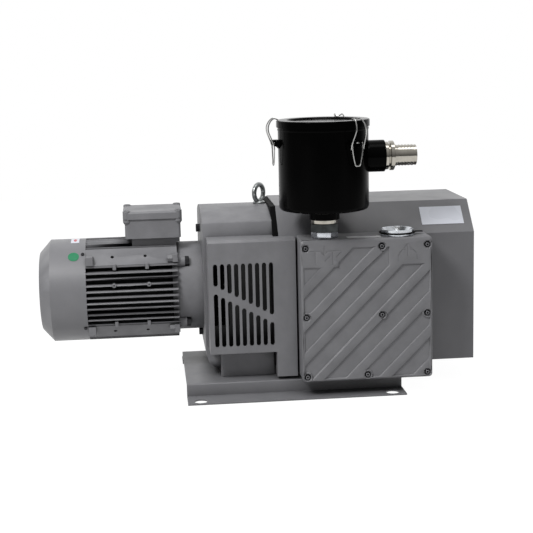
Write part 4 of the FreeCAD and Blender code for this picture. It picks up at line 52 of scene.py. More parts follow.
BMEdge = bmesh.types.BMEdge
BMVert = bmesh.types.BMVert
Value = Union[NodeSocket, float, Sequence[float]]

LOG = logging.getLogger("vacuum_pump")
MM = 0.001
SHARP = math.radians(33.0)
MERGE = 0.002


# Node materials


def linear(colour: str) -> tuple[float, float, float, float]:
    """Turn an sRGB hex colour into the linear values that shaders take.

    Args:
        colour: A hash and six hex digits.

    Returns:
        Red, green, blue and alpha.
    """
    parts = [int(colour[i:i + 2], 16) / 255 for i in (1, 3, 5)]
    red, green, blue = [c / 12.92 if c <= 0.04045 else ((c + 0.055) / 1.055) ** 2.4 for c in parts]
    return (red, green, blue, 1.0)


def add(tree: NodeTree, kind: str, settings: Optional[dict] = None,
        inputs: Optional[dict] = None) -> Node:
    """Add a shader node with its settings and links.

    Args:
        tree: The node tree that gets it.
        kind: Blender's name for the type of node, without ShaderNode before it.
        settings: The node's own properties by name.
        inputs: A value or an output socket for each input, by name or number.

    Returns:
        The new node.
    """
    node = tree.nodes.new("ShaderNode" + kind)
    for key, value in (settings or {}).items():
        setattr(node, key, value)
    for key, value in (inputs or {}).items():
        if isinstance(value, NodeSocket):
            tree.links.new(value, node.inputs[key])
        else:
            node.inputs[key].default_value = value
    return node


def maths(tree: NodeTree, operation: str, first: Value, second: Value) -> NodeSocket:
    """Return the result of one operation on two values."""
    return add(tree, "Math", {"operation": operation}, {0: first, 1: second}).outputs[0]


def spread(tree: NodeTree, value: NodeSocket, low: float, high: float, start: float = 0.0,
           end: float = 1.0) -> NodeSocket:
    """Return a value moved from the range low to high to the range start to end."""
    return add(tree, "MapRange", None, {0: value, 1: low, 2: high, 3: start, 4: end}).outputs[0]


def mixed(tree: NodeTree, share: Value, first: Value, second: Value) -> NodeSocket:
    """Return a colour between two, given the second one's share."""
    return add(tree, "Mix", {"data_type": "RGBA"}, {0: share, 6: first, 7: second}).outputs[2]


def noise(tree: NodeTree, place: NodeSocket, size_mm: float, detail: float,
          rough: float = 0.5) -> NodeSocket:
    """Return a cloudy pattern whose patches have a size in millimetres."""
    return add(tree, "TexNoise", None, {"Vector": place, "Scale": per_mm(size_mm),
                                        "Detail": detail, "Roughness": rough}).outputs[0]


def per_mm(size: float) -> float:
    """Return the scale of a pattern whose features are a size in millimetres."""
    return 1 / (size * MM)


def inside_box(tree: NodeTree, place: NodeSocket, low: Sequence[float],
               high: Sequence[float]) -> NodeSocket:
    """Return a value that is one within a box and nought outside it.

    Args:
        tree: The material's nodes.
        place: The coordinates that are tested.
        low: The box's lowest corner in millimetres.
        high: Its highest corner.

    Returns:
        The value's socket.
    """
    middle = [(a + b) / 2 * MM for a, b in zip(low, high)]
    half = [(b - a) / 2 * MM for a, b in zip(low, high)]
    moved = add(tree, "VectorMath", {"operation": "SUBTRACT"}, {0: place, 1: middle})
    size = add(tree, "VectorMath", {"operation": "ABSOLUTE"}, {0: moved.outputs[0]})
    over = add(tree, "VectorMath", {"operation": "SUBTRACT"}, {0: size.outputs[0], 1: half})
    x, y, z = add(tree, "SeparateXYZ", None, {0: over.outputs[0]}).outputs
    return maths(tree, "LESS_THAN", maths(tree, "MAXIMUM", maths(tree, "MAXIMUM", x, y), z), 0.0)


@dataclass
class Surface:
    """A material that is being dressed: its nodes, its shader and the place on the object."""

    tree: NodeTree
    shader: Node
    place: NodeSocket

    def link(self, name: str, value: NodeSocket) -> None:
        """Feed one of the shader's inputs."""
        self.tree.links.new(value, self.shader.inputs[name])

    def colour(self) -> NodeSocket:
        """Return what the colour comes from so far."""
        return self.shader.inputs["Base Color"].links[0].from_socket

    def mottle(self, own: str, other: str, patch_mm: float, share: float = 0.5) -> NodeSocket:
        """Vary the colour softly between the finish's own and another.

        Args:
            own: The finish's colour, in hex.
            other: The second colour, in hex.
            patch_mm: How wide a patch of one colour is.
            share: How far the second colour comes through.

        Returns:
            The pattern's value, for use elsewhere.
        """
        pattern = noise(self.tree, self.place, patch_mm, 4.0, 0.55)
        strength = spread(self.tree, pattern, 0.35, 0.65, 0.0, share)
        self.link("Base Color", mixed(self.tree, strength, linear(own), linear(other)))
        return pattern

    def roughness(self, pattern: NodeSocket, low: float, high: float) -> None:
        """Let a pattern move the roughness between two values."""
        self.link("Roughness", spread(self.tree, pattern, 0.3, 0.7, low, high))

    def painted_crevice_shade(self, reach_mm: float = 40.0, darkest: float = 0.1) -> None:
        """Paint shade into the colour where surfaces close round it, darkening corners and gaps
        where shade falls.

        Args:
            reach_mm: How near a surface counts.
            darkest: What is left of the colour in the deepest corner.
        """
        # Painted shade: ambient occlusion mixes the colour towards near-black in corners, gaps and
        # recesses.
        near = add(self.tree, "AmbientOcclusion", {"samples": 6}, {"Distance": reach_mm * MM})
        share = spread(self.tree, near.outputs["AO"], 0.12, 0.7, darkest, 1.0)
        self.link("Base Color", mixed(self.tree, share, linear("#08080a"), self.colour()))

    def bump(self, pattern: NodeSocket, depth_mm: float, strength: float) -> None:
        """Raise the surface by a pattern, after whatever bump it has already.

        Args:
            pattern: The heights.
            depth_mm: How far the pattern reaches.
            strength: How much of it shows.
        """
        inputs = {"Height": pattern, "Distance": depth_mm * MM, "Strength": strength}
        before = self.shader.inputs["Normal"].links
        if before:
            inputs["Normal"] = before[0].from_socket
        self.link("Normal", add(self.tree, "Bump", None, inputs).outputs[0])


@dataclass(frozen=True)
class Finish:
    """What every finish has: its name, its colour and the name of its slot."""

    name: str
    slot: str
    colour: str

    def material(self) -> Material:
        """Return the finish as a material, made at its first use.

        Returns:
            The material with its nodes.
        """
        found = bpy.data.materials.get(self.name)
        if found is not None:
            return found
        made = bpy.data.materials.new(self.name)
        made.use_nodes = True
        tree = made.node_tree
        place = add(tree, "TexCoord").outputs["Object"]
        self.dress(Surface(tree, tree.nodes["Principled BSDF"], place))
        return made

    def dress(self, on: Surface) -> None:
        """Add the nodes that are the finish's own."""
        raise NotImplementedError


@dataclass(frozen=True)
class CastingPaint(Finish):
    """Two-part enamel sprayed over a sand or die casting: the metal's grain shows through it."""

    shade: str = "#6f6f72"
    grain_mm: float = 1.8
    low: float = 0.42
    high: float = 0.56
    # A box in millimetres within which painted shade turns the colour near-black, or None.
    bare: Optional[tuple[tuple[float, float, float], tuple[float, float, float]]] = None

    def dress(self, on: Surface) -> None:
        """Add colour patches, fine pits of the mould's sand and a broad swell of the skin."""
        pattern = on.mottle(self.colour, self.shade, 46.0)
        # Painted shade: within the box the colour turns near-black for the shade inside the air
        # room.
        if self.bare:
            inside = inside_box(on.tree, on.place, *self.bare)
            on.link("Base Color", mixed(on.tree, inside, on.colour(), linear("#161617")))
        # Painted shade in corners and gaps.
        on.painted_crevice_shade()
        on.roughness(pattern, self.low, self.high)
        grain = add(on.tree, "TexVoronoi", {"feature": "SMOOTH_F1"},
                    {"Vector": on.place, "Scale": per_mm(self.grain_mm), "Smoothness": 0.6})
        on.bump(grain.outputs[0], 0.06, 0.5)
        on.bump(noise(on.tree, on.place, 9.0, 2.0), 0.12, 0.4)
        on.shader.inputs["Specular IOR Level"].default_value = 0.45


@dataclass(frozen=True)
class PowderCoat(Finish):
    """Powder coat baked on sheet steel: even colour with the dimples of orange peel."""

    shade: str = "#6f6f72"
    peel_mm: float = 2.4
    low: float = 0.34
    high: float = 0.44
    shine: float = 0.5

    def dress(self, on: Surface) -> None:
        """Add faint patches and a shallow regular dimple."""
        pattern = on.mottle(self.colour, self.shade, 70.0, 0.35)
        # Painted shade in corners and gaps.
        on.painted_crevice_shade(60.0)
        on.roughness(pattern, self.low, self.high)
        on.bump(noise(on.tree, on.place, self.peel_mm, 1.0), 0.05, 0.5)
        on.shader.inputs["Specular IOR Level"].default_value = self.shine


@dataclass(frozen=True)
class PlatedSteel(Finish):
    """Nickel or zinc plate over turned steel: bright, with faint tool marks under it."""

    shade: str = "#b9b8b2"
    low: float = 0.16
    high: float = 0.3
    mark_mm: float = 1.2
    mark_depth_mm: float = 0.02

    def dress(self, on: Surface) -> None:
        """Add cloudy brightness and shallow random marks."""
        on.roughness(on.mottle(self.colour, self.shade, 18.0), self.low, self.high)
        on.bump(noise(on.tree, on.place, self.mark_mm, 3.0), self.mark_depth_mm, 0.4)
        on.shader.inputs["Metallic"].default_value = 1.0


@dataclass(frozen=True)
class GroundSteel(Finish):
    """Turned and ground steel: fine rings round the shaft's line."""

    shade: str = "#8f9093"
    ring_mm: float = 1.6

    def dress(self, on: Surface) -> None:
        """Add rings across the X direction and slight colour patches."""
        on.roughness(on.mottle(self.colour, self.shade, 14.0), 0.26, 0.4)
        rings = add(on.tree, "TexWave", {"bands_direction": "X"},
                    {"Vector": on.place, "Scale": per_mm(self.ring_mm) / 20, "Distortion": 1.5,
                     "Detail": 2.0})
        on.bump(rings.outputs[1], 0.02, 0.3)
        on.shader.inputs["Metallic"].default_value = 1.0


@dataclass(frozen=True)
class GreyIron(Finish):
    """Machined grey cast iron: dull metal with open graphite pores."""

    shade: str = "#5c5b59"

    def dress(self, on: Surface) -> None:
        """Add dark pores in a matt metal."""
        on.roughness(on.mottle(self.colour, self.shade, 6.0), 0.45, 0.6)
        pores = add(on.tree, "TexVoronoi", None, {"Vector": on.place, "Scale": per_mm(2.2)})
        on.bump(pores.outputs[0], 0.04, 0.5)
        on.shader.inputs["Metallic"].default_value = 1.0


@dataclass(frozen=True)
class Moulded(Finish):
    """Moulded rubber or plastic: dark, with the fine matt texture of its mould."""

    shade: str = "#232324"
    grain_mm: float = 0.9
    low: float = 0.55
    high: float = 0.75

    def dress(self, on: Surface) -> None:
        """Add fine grain and a slight bloom."""
        on.roughness(on.mottle(self.colour, self.shade, 22.0), self.low, self.high)
        on.bump(noise(on.tree, on.place, self.grain_mm, 2.0), 0.03, 0.5)
        on.shader.inputs["Specular IOR Level"].default_value = 0.06


@dataclass(frozen=True)
class PleatedPaper(Finish):
    """Resin-treated filter paper: cream, with the shadow lines of its upright pleats."""

    shade: str = "#b8a777"
    centre: tuple[float, float] = (77.4, -172.2)
    pleats: int = 60

    def dress(self, on: Surface) -> None:
        """Add pleats as a wave of the angle round the cartridge's axis."""
        shift = (-self.centre[0] * MM, -self.centre[1] * MM, 0.0)
        moved = add(on.tree, "Mapping", None, {"Vector": on.place, "Location": shift})
        angle = add(on.tree, "TexGradient", {"gradient_type": "RADIAL"},
                    {"Vector": moved.outputs[0]})
        turns = maths(on.tree, "MULTIPLY", angle.outputs[1], float(self.pleats))
        fold = maths(on.tree, "PINGPONG", turns, 0.5)
        pale = spread(on.tree, fold, 0.0, 0.5)
        on.link("Base Color", mixed(on.tree, pale, linear(self.shade), linear(self.colour)))
        on.bump(fold, 3.0, 0.8)
        on.shader.inputs["Roughness"].default_value = 0.85


@dataclass(frozen=True)
class OilGlass(Finish):
    """Clear sight glass with oil behind it: amber, smooth and wet-looking."""

    level: float = 208.5

    def dress(self, on: Surface) -> None:
        """Add amber below the oil's level and pale glass above it."""
        height = add(on.tree, "SeparateXYZ", None, {0: on.place}).outputs[2]
        above = maths(on.tree, "GREATER_THAN", height, self.level * MM)
        on.link("Base Color", mixed(on.tree, above, linear("#a8741f"), linear(self.colour)))
        on.shader.inputs["Roughness"].default_value = 0.08
        on.shader.inputs["Coat Weight"].default_value = 1.0
        on.shader.inputs["Coat Roughness"].default_value = 0.03


@dataclass(frozen=True)
class PrintedFilm(Finish):
    """Bare adhesive film or thin plate: smooth, with the faintest unevenness."""

    metal: float = 0.0
    low: float = 0.25
    high: float = 0.33

    def dress(self, on: Surface) -> None:
        """Add a nearly even sheet that catches the light a little unevenly."""
        pattern = noise(on.tree, on.place, 60.0, 1.0)
        value = spread(on.tree, pattern, 0.3, 0.7, 0.98, 1.02)
        tint = add(on.tree, "HueSaturation", None, {"Color": linear(self.colour), "Value": value})
        on.link("Base Color", tint.outputs[0])
        on.roughness(pattern, self.low, self.high)
        on.shader.inputs["Metallic"].default_value = self.metal


GREY = "#7e7e81"
CAST_ENAMEL = CastingPaint("grey_enamel_on_sand_casting", "cast_grey", GREY)
MOTOR_ENAMEL = CastingPaint("grey_enamel_on_die_casting", "motor_grey", GREY, grain_mm=1.2)
SHEET_COAT = PowderCoat("grey_powder_coat_on_sheet", "sheet_grey", GREY)
# Painted shade: the hood's grey is darker than the other sheets' for the shade it sits in behind
# the silencer.
HOOD_COAT_WITH_PAINTED_SHADE = PowderCoat("powder_coat_with_painted_shade_on_hood_sheet", "sheet_grey", "#717174", shade="#67676a")
BLACK_COAT = PowderCoat("black_gloss_coat_on_sheet", "black_paint", "#030303", shade="#050505",
                        low=0.14, high=0.2, shine=0.03)
BLACK_OXIDE = PlatedSteel("black_oxide_steel", "black_steel", "#3a3a3c", shade="#29292b",
                          low=0.35, high=0.5)
# Painted shade: the air room's inside, behind the grille's slots, is coloured near-black for the
# shade there.
AIR_ROOM_ENAMEL = CastingPaint("grey_enamel_with_painted_shade_inside", "cast_grey", GREY,
                               bare=((-199.9, -153.9, 105.0), (-42.0, 60.0, 376.0)))
SCREW_STEEL = PlatedSteel("blued_screw_steel", "black_steel", "#77777a", shade="#5f5f62",
                          low=0.3, high=0.45)
NICKEL = PlatedSteel("nickel_plated_brass", "zinc", "#b3afa6", shade="#98948b", low=0.07,
                     high=0.14, mark_depth_mm=0.004)
# Painted highlight: a brighter copy of the nickel stands for the light the foot nut and outlet
# socket reflect.
NICKEL_WITH_PAINTED_HIGHLIGHT = PlatedSteel("nickel_plate_with_painted_highlight", "zinc", "#dfe3e8", shade="#c8ccd2")
# Painted shade: a darker copy of the nickel stands for the dark the middle nut reflects.
NICKEL_WITH_PAINTED_SHADE = PlatedSteel("nickel_plate_with_painted_shade", "zinc", "#4b4e4e", shade="#303232",
                          low=0.3, high=0.45)
SPRING_STEEL = PlatedSteel("bright_spring_wire", "zinc", "#b4b4b2", shade="#9c9c9a", low=0.14,
                           high=0.24)
ZINC = PlatedSteel("bright_zinc_plate", "zinc", "#a3a6a6", shade="#8d9090", low=0.22, high=0.36)
SHAFT_STEEL = GroundSteel("ground_shaft_steel", "steel", "#b3b2b0")
IRON = GreyIron("machined_grey_iron", "iron", "#7a7875")
RUBBER = Moulded("matt_black_rubber", "rubber", "#070708", shade="#0c0c0d")
PLASTIC = Moulded("moulded_black_polyamide", "plastic", "#202022", low=0.4, high=0.55)
PAPER = PleatedPaper("pleated_filter_paper", "paper", "#e6dab0")
OIL_GLASS = OilGlass("sight_glass_over_oil", "sight", "#d9ddcf")
WHITE_FILM = PrintedFilm("bare_white_film", "sheet_grey", "#d2d5de")
RED_FILM = PrintedFilm("bare_red_film", "sheet_grey", "#c0414b")
BRIGHT_STRIP = PrintedFilm("bare_bright_metal_strip", "zinc", "#d2d2d4", metal=0.8)
GREEN_FILM = PrintedFilm("bare_green_film", "sheet_grey", "#2a8159")

NODE_FINISH: dict[Finish, tuple[str, ...]] = {
    AIR_ROOM_ENAMEL: ("gear_housing", "grille_cover"),
    CAST_ENAMEL: ("front_foot", "motor_lantern", "cylinder_plate", "pump_cylinder", "end_cover",
                  "silencer_body", "silencer_cover"),
    MOTOR_ENAMEL: ("motor_frame", "drive_end_shield", "fan_end_shield", "terminal_box",
                   "terminal_lid"),
    SHEET_COAT: ("base_frame", "fan_cowl"),
    HOOD_COAT_WITH_PAINTED_SHADE: ("acoustic_hood",),
    BLACK_COAT: ("filter_canister", "filter_lid"),
    BLACK_OXIDE: ("hex_bolts", "silencer_screws", "cowl_screws"),
    NICKEL: ("inlet_fitting", "outlet_ring", "hose_nozzle"),
    SPRING_STEEL: ("check_valve_spring", "clip_lever_left", "clip_lever_front", "clip_lever_back",
                   "clip_hook_left", "clip_hook_front", "clip_hook_back"),
    ZINC: ("eye_bolt", "check_valve", "terminal_screws", "oil_plugs"),
    SHAFT_STEEL: ("motor_shaft", "drive_shaft", "driven_shaft", "drive_gear", "driven_gear",
                  "shaft_bearings", "motor_bearings", "motor_rotor", "motor_stator"),
    IRON: ("drive_claw", "driven_claw", "coupling_motor_hub", "coupling_pump_hub"),
    RUBBER: ("hood_seal", "outlet_seal", "silencer_gasket", "shaft_seals", "coupling_spider"),
    PLASTIC: ("motor_fan", "cooling_fan", "entry_plugs", "terminal_board"),
    PAPER: ("filter_cartridge",),
    OIL_GLASS: ("oil_sight_glass",),
}


# Building meshes


class Axis(Enum):
    """The direction that a turned piece is spun about."""

    X = (1.0, 0.0, 0.0)
    Y = (0.0, 1.0, 0.0)
    Z = (0.0, 0.0, 1.0)


def placed(name: str, data: ID) -> Object:
    """Put data in the scene as a new object at the origin."""
    made = bpy.data.objects.new(name, data)
    bpy.context.scene.collection.objects.link(made)
    return made


def rotate(bm: BMesh, verts: Sequence[BMVert], angle: float, axis: str,
           centre: Sequence[float] = (0, 0, 0)) -> None:
    """Turn corners by an angle in radians about a line along an axis."""
    bmesh.ops.rotate(bm, verts=verts, cent=centre, matrix=Matrix.Rotation(angle, 3, axis))


def hexagon(bm: BMesh, corner: float, height: float) -> list[BMVert]:
    """Add a hexagonal prism about Z, its middle at the origin."""
    return bmesh.ops.create_cone(bm, cap_ends=True, segments=6, radius1=corner, radius2=corner,
                                 depth=height)["verts"]


def bevelled(bm: BMesh, edges: Sequence[BMEdge], width: float, segments: int = 2,
             clamp: bool = False) -> list[BMVert]:
    """Bevel edges.

    Args:
        bm: The mesh.
        edges: Its edges that are bevelled.
        width: How far the bevel reaches on each side, in millimetres.
        segments: How many steps it has.
        clamp: True to stop it where it would meet another.

    Returns:
        The corners of the bevel's faces.
    """
    out = bmesh.ops.bevel(bm, geom=edges, offset=width, offset_type="OFFSET", affect="EDGES",
                          segments=segments, profile=0.5, material=-1, clamp_overlap=clamp)
    return list({v for f in out["faces"] for v in f.verts})


def seal(bm: BMesh, name: str, finish: Finish, body: str = "root",
         replaces: Sequence[str] = (), angle: float = 32.0, turned_out: bool = True,
         second: Optional[Finish] = None) -> Object:
    """Turn a mesh in millimetres into a finished piece at the origin.

    Args:
        bm: The mesh, in millimetres in the model's own frame. It is used up.
        name: The piece's name.
        finish: What it is dressed in.
        body: The body that it rides on.
        replaces: The CAD nodes that it stands for.
        angle: Faces that meet at less than this many degrees are shaded as one.
        turned_out: True to work the normals out anew.
        second: What its faces of material number one are dressed in, or None.

    Returns:
        The object, riding on its body.
    """
    if turned_out:
        bmesh.ops.recalc_face_normals(bm, faces=bm.faces[:])
    bmesh.ops.scale(bm, vec=(MM, MM, MM), verts=bm.verts[:])
    mesh = bpy.data.meshes.new(name)
    bm.to_mesh(mesh)
    bm.free()
    mesh.shade_smooth()
    mesh.set_sharp_from_angle(angle=math.radians(angle))
    piece = placed(name, mesh)
    mesh.materials.append(finish.material())
    if second is not None:
        mesh.materials.append(second.material())
    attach(piece, body)
    weigh = piece.modifiers.new("flat_faces_stay_flat", "WEIGHTED_NORMAL")
    weigh.keep_sharp = True
    weigh.weight = 80
    if replaces:
        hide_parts(*replaces)
    return piece


def block(bm: BMesh, low: Sequence[float], high: Sequence[float],
          radius: float = 0.0, segments: int = 2) -> list[BMVert]:
    """Add a box between two corners, its edges rounded.

    Args:
        bm: The mesh that gets it.
        low: The lowest corner in millimetres.
        high: The highest corner.
        radius: How far the edges are rounded.
        segments: How many steps a rounding has.

    Returns:
        The box's vertices.
    """
    made = bmesh.ops.create_cube(bm, size=1.0)["verts"]
    size = [b - a for a, b in zip(low, high)]
    middle = [(a + b) / 2 for a, b in zip(low, high)]
    bmesh.ops.scale(bm, vec=size, verts=made)
    bmesh.ops.translate(bm, vec=middle, verts=made)
    if radius:
        made = bevelled(bm, list({e for v in made for e in v.link_edges}), radius, segments)
    return made


def turned(bm: BMesh, profile: Sequence[tuple[float, float]],
           centre: Sequence[float], axis: Axis = Axis.Z, steps: int = 64
           ) -> list[BMVert]:
    """Spin a profile into a closed turned piece.

    Args:
        bm: The mesh that gets it.
        profile: Pairs of a radius and a place along the axis, in millimetres.
        centre: A point on the axis.
        axis: The axis's direction.
        steps: How many steps the turn has.

    Returns:
        The new vertices.
    """
    along = Vector(axis.value)
    out = Vector((0, 0, 1)) if axis is not Axis.Z else Vector((1, 0, 0))
    middle = Vector(centre)
    before = set(bm.verts)
    row = [bm.verts.new(middle + out * r + along * a) for r, a in profile]
    edges = [bm.edges.new((row[i], row[(i + 1) % len(row)])) for i in range(len(row))]
    bmesh.ops.spin(bm, geom=row + edges, cent=middle, axis=along, angle=2 * math.pi, steps=steps,
                   use_merge=True, use_duplicate=False)
    made = [v for v in bm.verts if v not in before]
    bmesh.ops.remove_doubles(bm, verts=made, dist=0.001)
    return [v for v in bm.verts if v not in before]


def wire_mesh(points: Sequence[Vector], radius: float) -> BMesh:
    """Return a round wire that follows a smooth line near some points.

    Args:
        points: The control points in millimetres.
        radius: The wire's radius.

    Returns:
        A new mesh of the wire.
    """
    curve = bpy.data.curves.new("wire_line", "CURVE")
    curve.dimensions = "3D"
    curve.bevel_depth = radius
    curve.bevel_resolution = 3
    curve.use_fill_caps = True
    curve.resolution_u = 6
    spline = curve.splines.new("NURBS")
    spline.points.add(len(points) - 1)
    for point, place in zip(spline.points, points):
        point.co = (*place, 1.0)
    spline.order_u = 3
    spline.use_endpoint_u = True
    holder = placed("wire_line", curve)
    bpy.context.view_layer.update()
    made = bpy.data.meshes.new_from_object(holder)
    bm = bmesh.new()
    bm.from_mesh(made)
    bpy.data.objects.remove(holder)
    bpy.data.curves.remove(curve)
    bpy.data.meshes.remove(made)
    bmesh.ops.remove_doubles(bm, verts=bm.verts[:], dist=0.001)
    return bm


def cad_copy(node: str) -> BMesh:
    """Return a copy of a CAD node's mesh, in millimetres."""
    bm = bmesh.new()
    bm.from_mesh(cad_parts[node].data)
    bmesh.ops.scale(bm, vec=(1 / MM, 1 / MM, 1 / MM), verts=bm.verts[:])
    return bm


def combined(parts: Sequence[BMesh], operation: str) -> BMesh:
    """Join solids to the first one, or cut them from it.

    Args:
        parts: The closed meshes, in millimetres. They are used up.
        operation: UNION or DIFFERENCE.

    Returns:
        A new mesh of the result.
    """
    holders = []
    for bm in parts:
        bmesh.ops.remove_doubles(bm, verts=bm.verts[:], dist=MERGE)
        mesh = bpy.data.meshes.new("operand")
        bm.to_mesh(mesh)
        bm.free()
        holders.append(placed("operand", mesh))
    for other in holders[1:]:
        step = holders[0].modifiers.new("step", "BOOLEAN")
        step.operation = operation
        step.solver = "EXACT"
        step.use_self = True
        step.object = other
    bpy.context.view_layer.update()
    evaluated = holders[0].evaluated_get(bpy.context.evaluated_depsgraph_get())
    made = bmesh.new()
    made.from_mesh(evaluated.to_mesh())
    evaluated.to_mesh_clear()
    for holder in holders:
        mesh = holder.data
        bpy.data.objects.remove(holder)
        bpy.data.meshes.remove(mesh)
    bmesh.ops.remove_doubles(made, verts=made.verts[:], dist=MERGE)
    return made


def welded(bm: BMesh, seams: Sequence[float]) -> BMesh:
    """Join a piece's sections, which meet at planes across X, into one skin.

    Args:
        bm: The mesh, in millimetres. It is used up.
        seams: Where the sections meet along X.

    Returns:
        A new mesh without the faces where the sections meet.
    """
    sections = []
    for k in range(len(seams) + 1):
        copy = bm.copy()
        others = []
        for face in copy.faces:
            x = face.calc_center_median().x
            lean = 0.01 if face.normal.x > 0.5 else -0.01 if face.normal.x < -0.5 else 0.0
            if sum(x - lean > seam for seam in seams) != k:
                others.append(face)
        bmesh.ops.delete(copy, geom=others, context="FACES")
        sections.append(copy)
    bm.free()
    return combined(sections, "UNION")


def softened(node: str, width: float, name: str, finish: Finish,
             seams: Sequence[float] = (), merge: bool = True,
             move: Optional[Callable[[Vector], float]] = None) -> Object:
    """Replace a CAD node by a copy whose sharp edges are rounded.

    Args:
        node: The node's name.
        width: How far its edges are rounded, in millimetres.
        name: The new piece's name.
        finish: What it is dressed in.
        seams: Where along X its touching sections are joined first.
        merge: True to make one face of each flat region, which only a region without holes allows.
        move: How far along X a corner is moved first, given its place, or None.

    Returns:
        The new piece.
    """
    bm = cad_copy(node)
    if seams:
        bm = welded(bm, seams)
    bmesh.ops.remove_doubles(bm, verts=bm.verts[:], dist=MERGE)
    if move is not None:
        for vert in bm.verts:
            vert.co.x += move(vert.co)
    if merge:
        bmesh.ops.dissolve_limit(bm, angle_limit=math.radians(1.0), verts=bm.verts[:],
                                 edges=bm.edges[:])
    edges = [e for e in bm.edges if len(e.link_faces) == 2 and e.calc_face_angle(0.0) > SHARP]
    bevelled(bm, edges, width, clamp=True)
    return seal(bm, name, finish, replaces=(node,), turned_out=False)


# The pump's pieces


@dataclass
class FilterClips:
    """Three spring-wire clips, each a lever and a hook, round the filter's canister."""

    centre: tuple[float, float] = (77.4, -172.2)
    pivot_radius: float = 119.0
    pivot_z: float = 611.0
    crank: float = 13.0
    wire: float = 1.5
    half_width: float = 15.5
    tail: float = 54.0
    tail_half_width: float = 9.0
    bulge_radius: float = 133.5
    bulge_rise: float = 30.0
    lid_top_z: float = 661.5
    lid_radius: float = 110.0

    def place(self, angle: float, radius: float, sideways: float, z: float) -> Vector:
        """Return a point of the clip that stands at an angle in degrees."""
        turn = Matrix.Rotation(math.radians(angle), 4, "Z")
        return turn @ Vector((radius, sideways, z)) + Vector((*self.centre, 0))

    def bend(self, kind: str, side: str, angle: float,
             half: list[tuple[float, float, float]]) -> None:
        """Build one wire from the points of its first half and their mirror image.

        Args:
            kind: What the wire is, lever or hook.
            side: The clip's side.
            angle: Where the clip stands round the canister, in degrees.
            half: Each point's radius, distance sideways and height.
        """
        mirrored = [(r, -s, h) for r, s, h in reversed(half)]
        points = [self.place(angle, *p) for p in half + mirrored]
        seal(wire_mesh(points, self.wire), kind + "_wire_" + side, SPRING_STEEL,
             kind + "_" + side, ("clip_" + kind + "_" + side,))

    def lever(self, side: str, angle: float) -> None:
        """Build the lever: a pin through the bracket and two legs to a rounded tail."""
        wide, tail, z = self.half_width, self.tail_half_width, self.pivot_z
        low = z - self.tail
        out = self.pivot_radius
        self.bend("lever", side, angle, [
            (out, 0.0, z), (out, wide - 3, z), (out, wide, z), (out, wide, z - 3),
            (out, wide, z - self.crank - 4),
            (out, (wide + tail) / 2, (z - self.crank + low) / 2), (out, tail, low + 9),
            (out + 1, tail * 0.8, low + 1)])

    def hook(self, side: str, angle: float) -> None:
        """Build the hook: two legs bowed outwards and a bar over the lid's edge."""
        wide = self.half_width + 2 * self.wire + 0.3
        top = 9.0
        z = self.pivot_z - self.crank
        rest = self.lid_top_z + self.wire + 0.3
        bulge_z = self.pivot_z + self.bulge_rise
        out = self.pivot_radius
        self.bend("hook", side, angle, [
            (out, wide, z - 2), (out, wide, z + 3), (out + 4, wide, z + 16),
            (self.bulge_radius, wide * 0.82, bulge_z - 2),
            (self.bulge_radius - 3, wide * 0.68, bulge_z + 14), (out, top, rest + 5.5),
            (self.lid_radius - 3.0, top * 0.9, rest)])

    def build(self) -> None:
        """Build all three clips."""
        for side, angle in (("left", 183.0), ("front", 303.0), ("back", 63.0)):
            self.lever(side, angle)
            self.hook(side, angle)


@dataclass
class LiftingEye:
    """The forged eye bolt on the gear housing."""

    x: float = -57.0
    y: float = 61.0
    seat_z: float = 439.0
    collar_radius: float = 15.0
    collar_height: float = 6.0
    ring_radius: float = 21.0
    section: float = 6.0
    turn: float = 52.0

    def build(self) -> None:
        """Build the ring, its collar and the shank."""
        bm = bmesh.new()
        foot = (self.x, self.y, self.seat_z)
        turned(bm, [(0.001, -17.0), (6.0, -17.0), (6.0, 0.0), (self.collar_radius, 0.0),
                    (self.collar_radius, 3.6), (13.4, self.collar_height), (8.0, 8.6),
                    (0.001, 8.8)], foot, steps=40)
        centre = Vector((self.x, self.y, self.seat_z + self.collar_height + self.ring_radius))
        circle = bmesh.ops.create_circle(bm, segments=16, radius=self.section)["verts"]
        bmesh.ops.translate(bm, verts=circle, vec=centre + Vector((self.ring_radius, 0, 0)))
        edges = list({e for v in circle for e in v.link_edges})
        bmesh.ops.spin(bm, geom=circle + edges, cent=centre, axis=(0, 1, 0), angle=2 * math.pi,
                       steps=56, use_merge=True, use_duplicate=False)
        bmesh.ops.remove_doubles(bm, verts=bm.verts[:], dist=0.001)
        rotate(bm, bm.verts[:], math.radians(self.turn), "Z", foot)
        seal(bm, "lifting_eye", ZINC, replaces=("eye_bolt",))


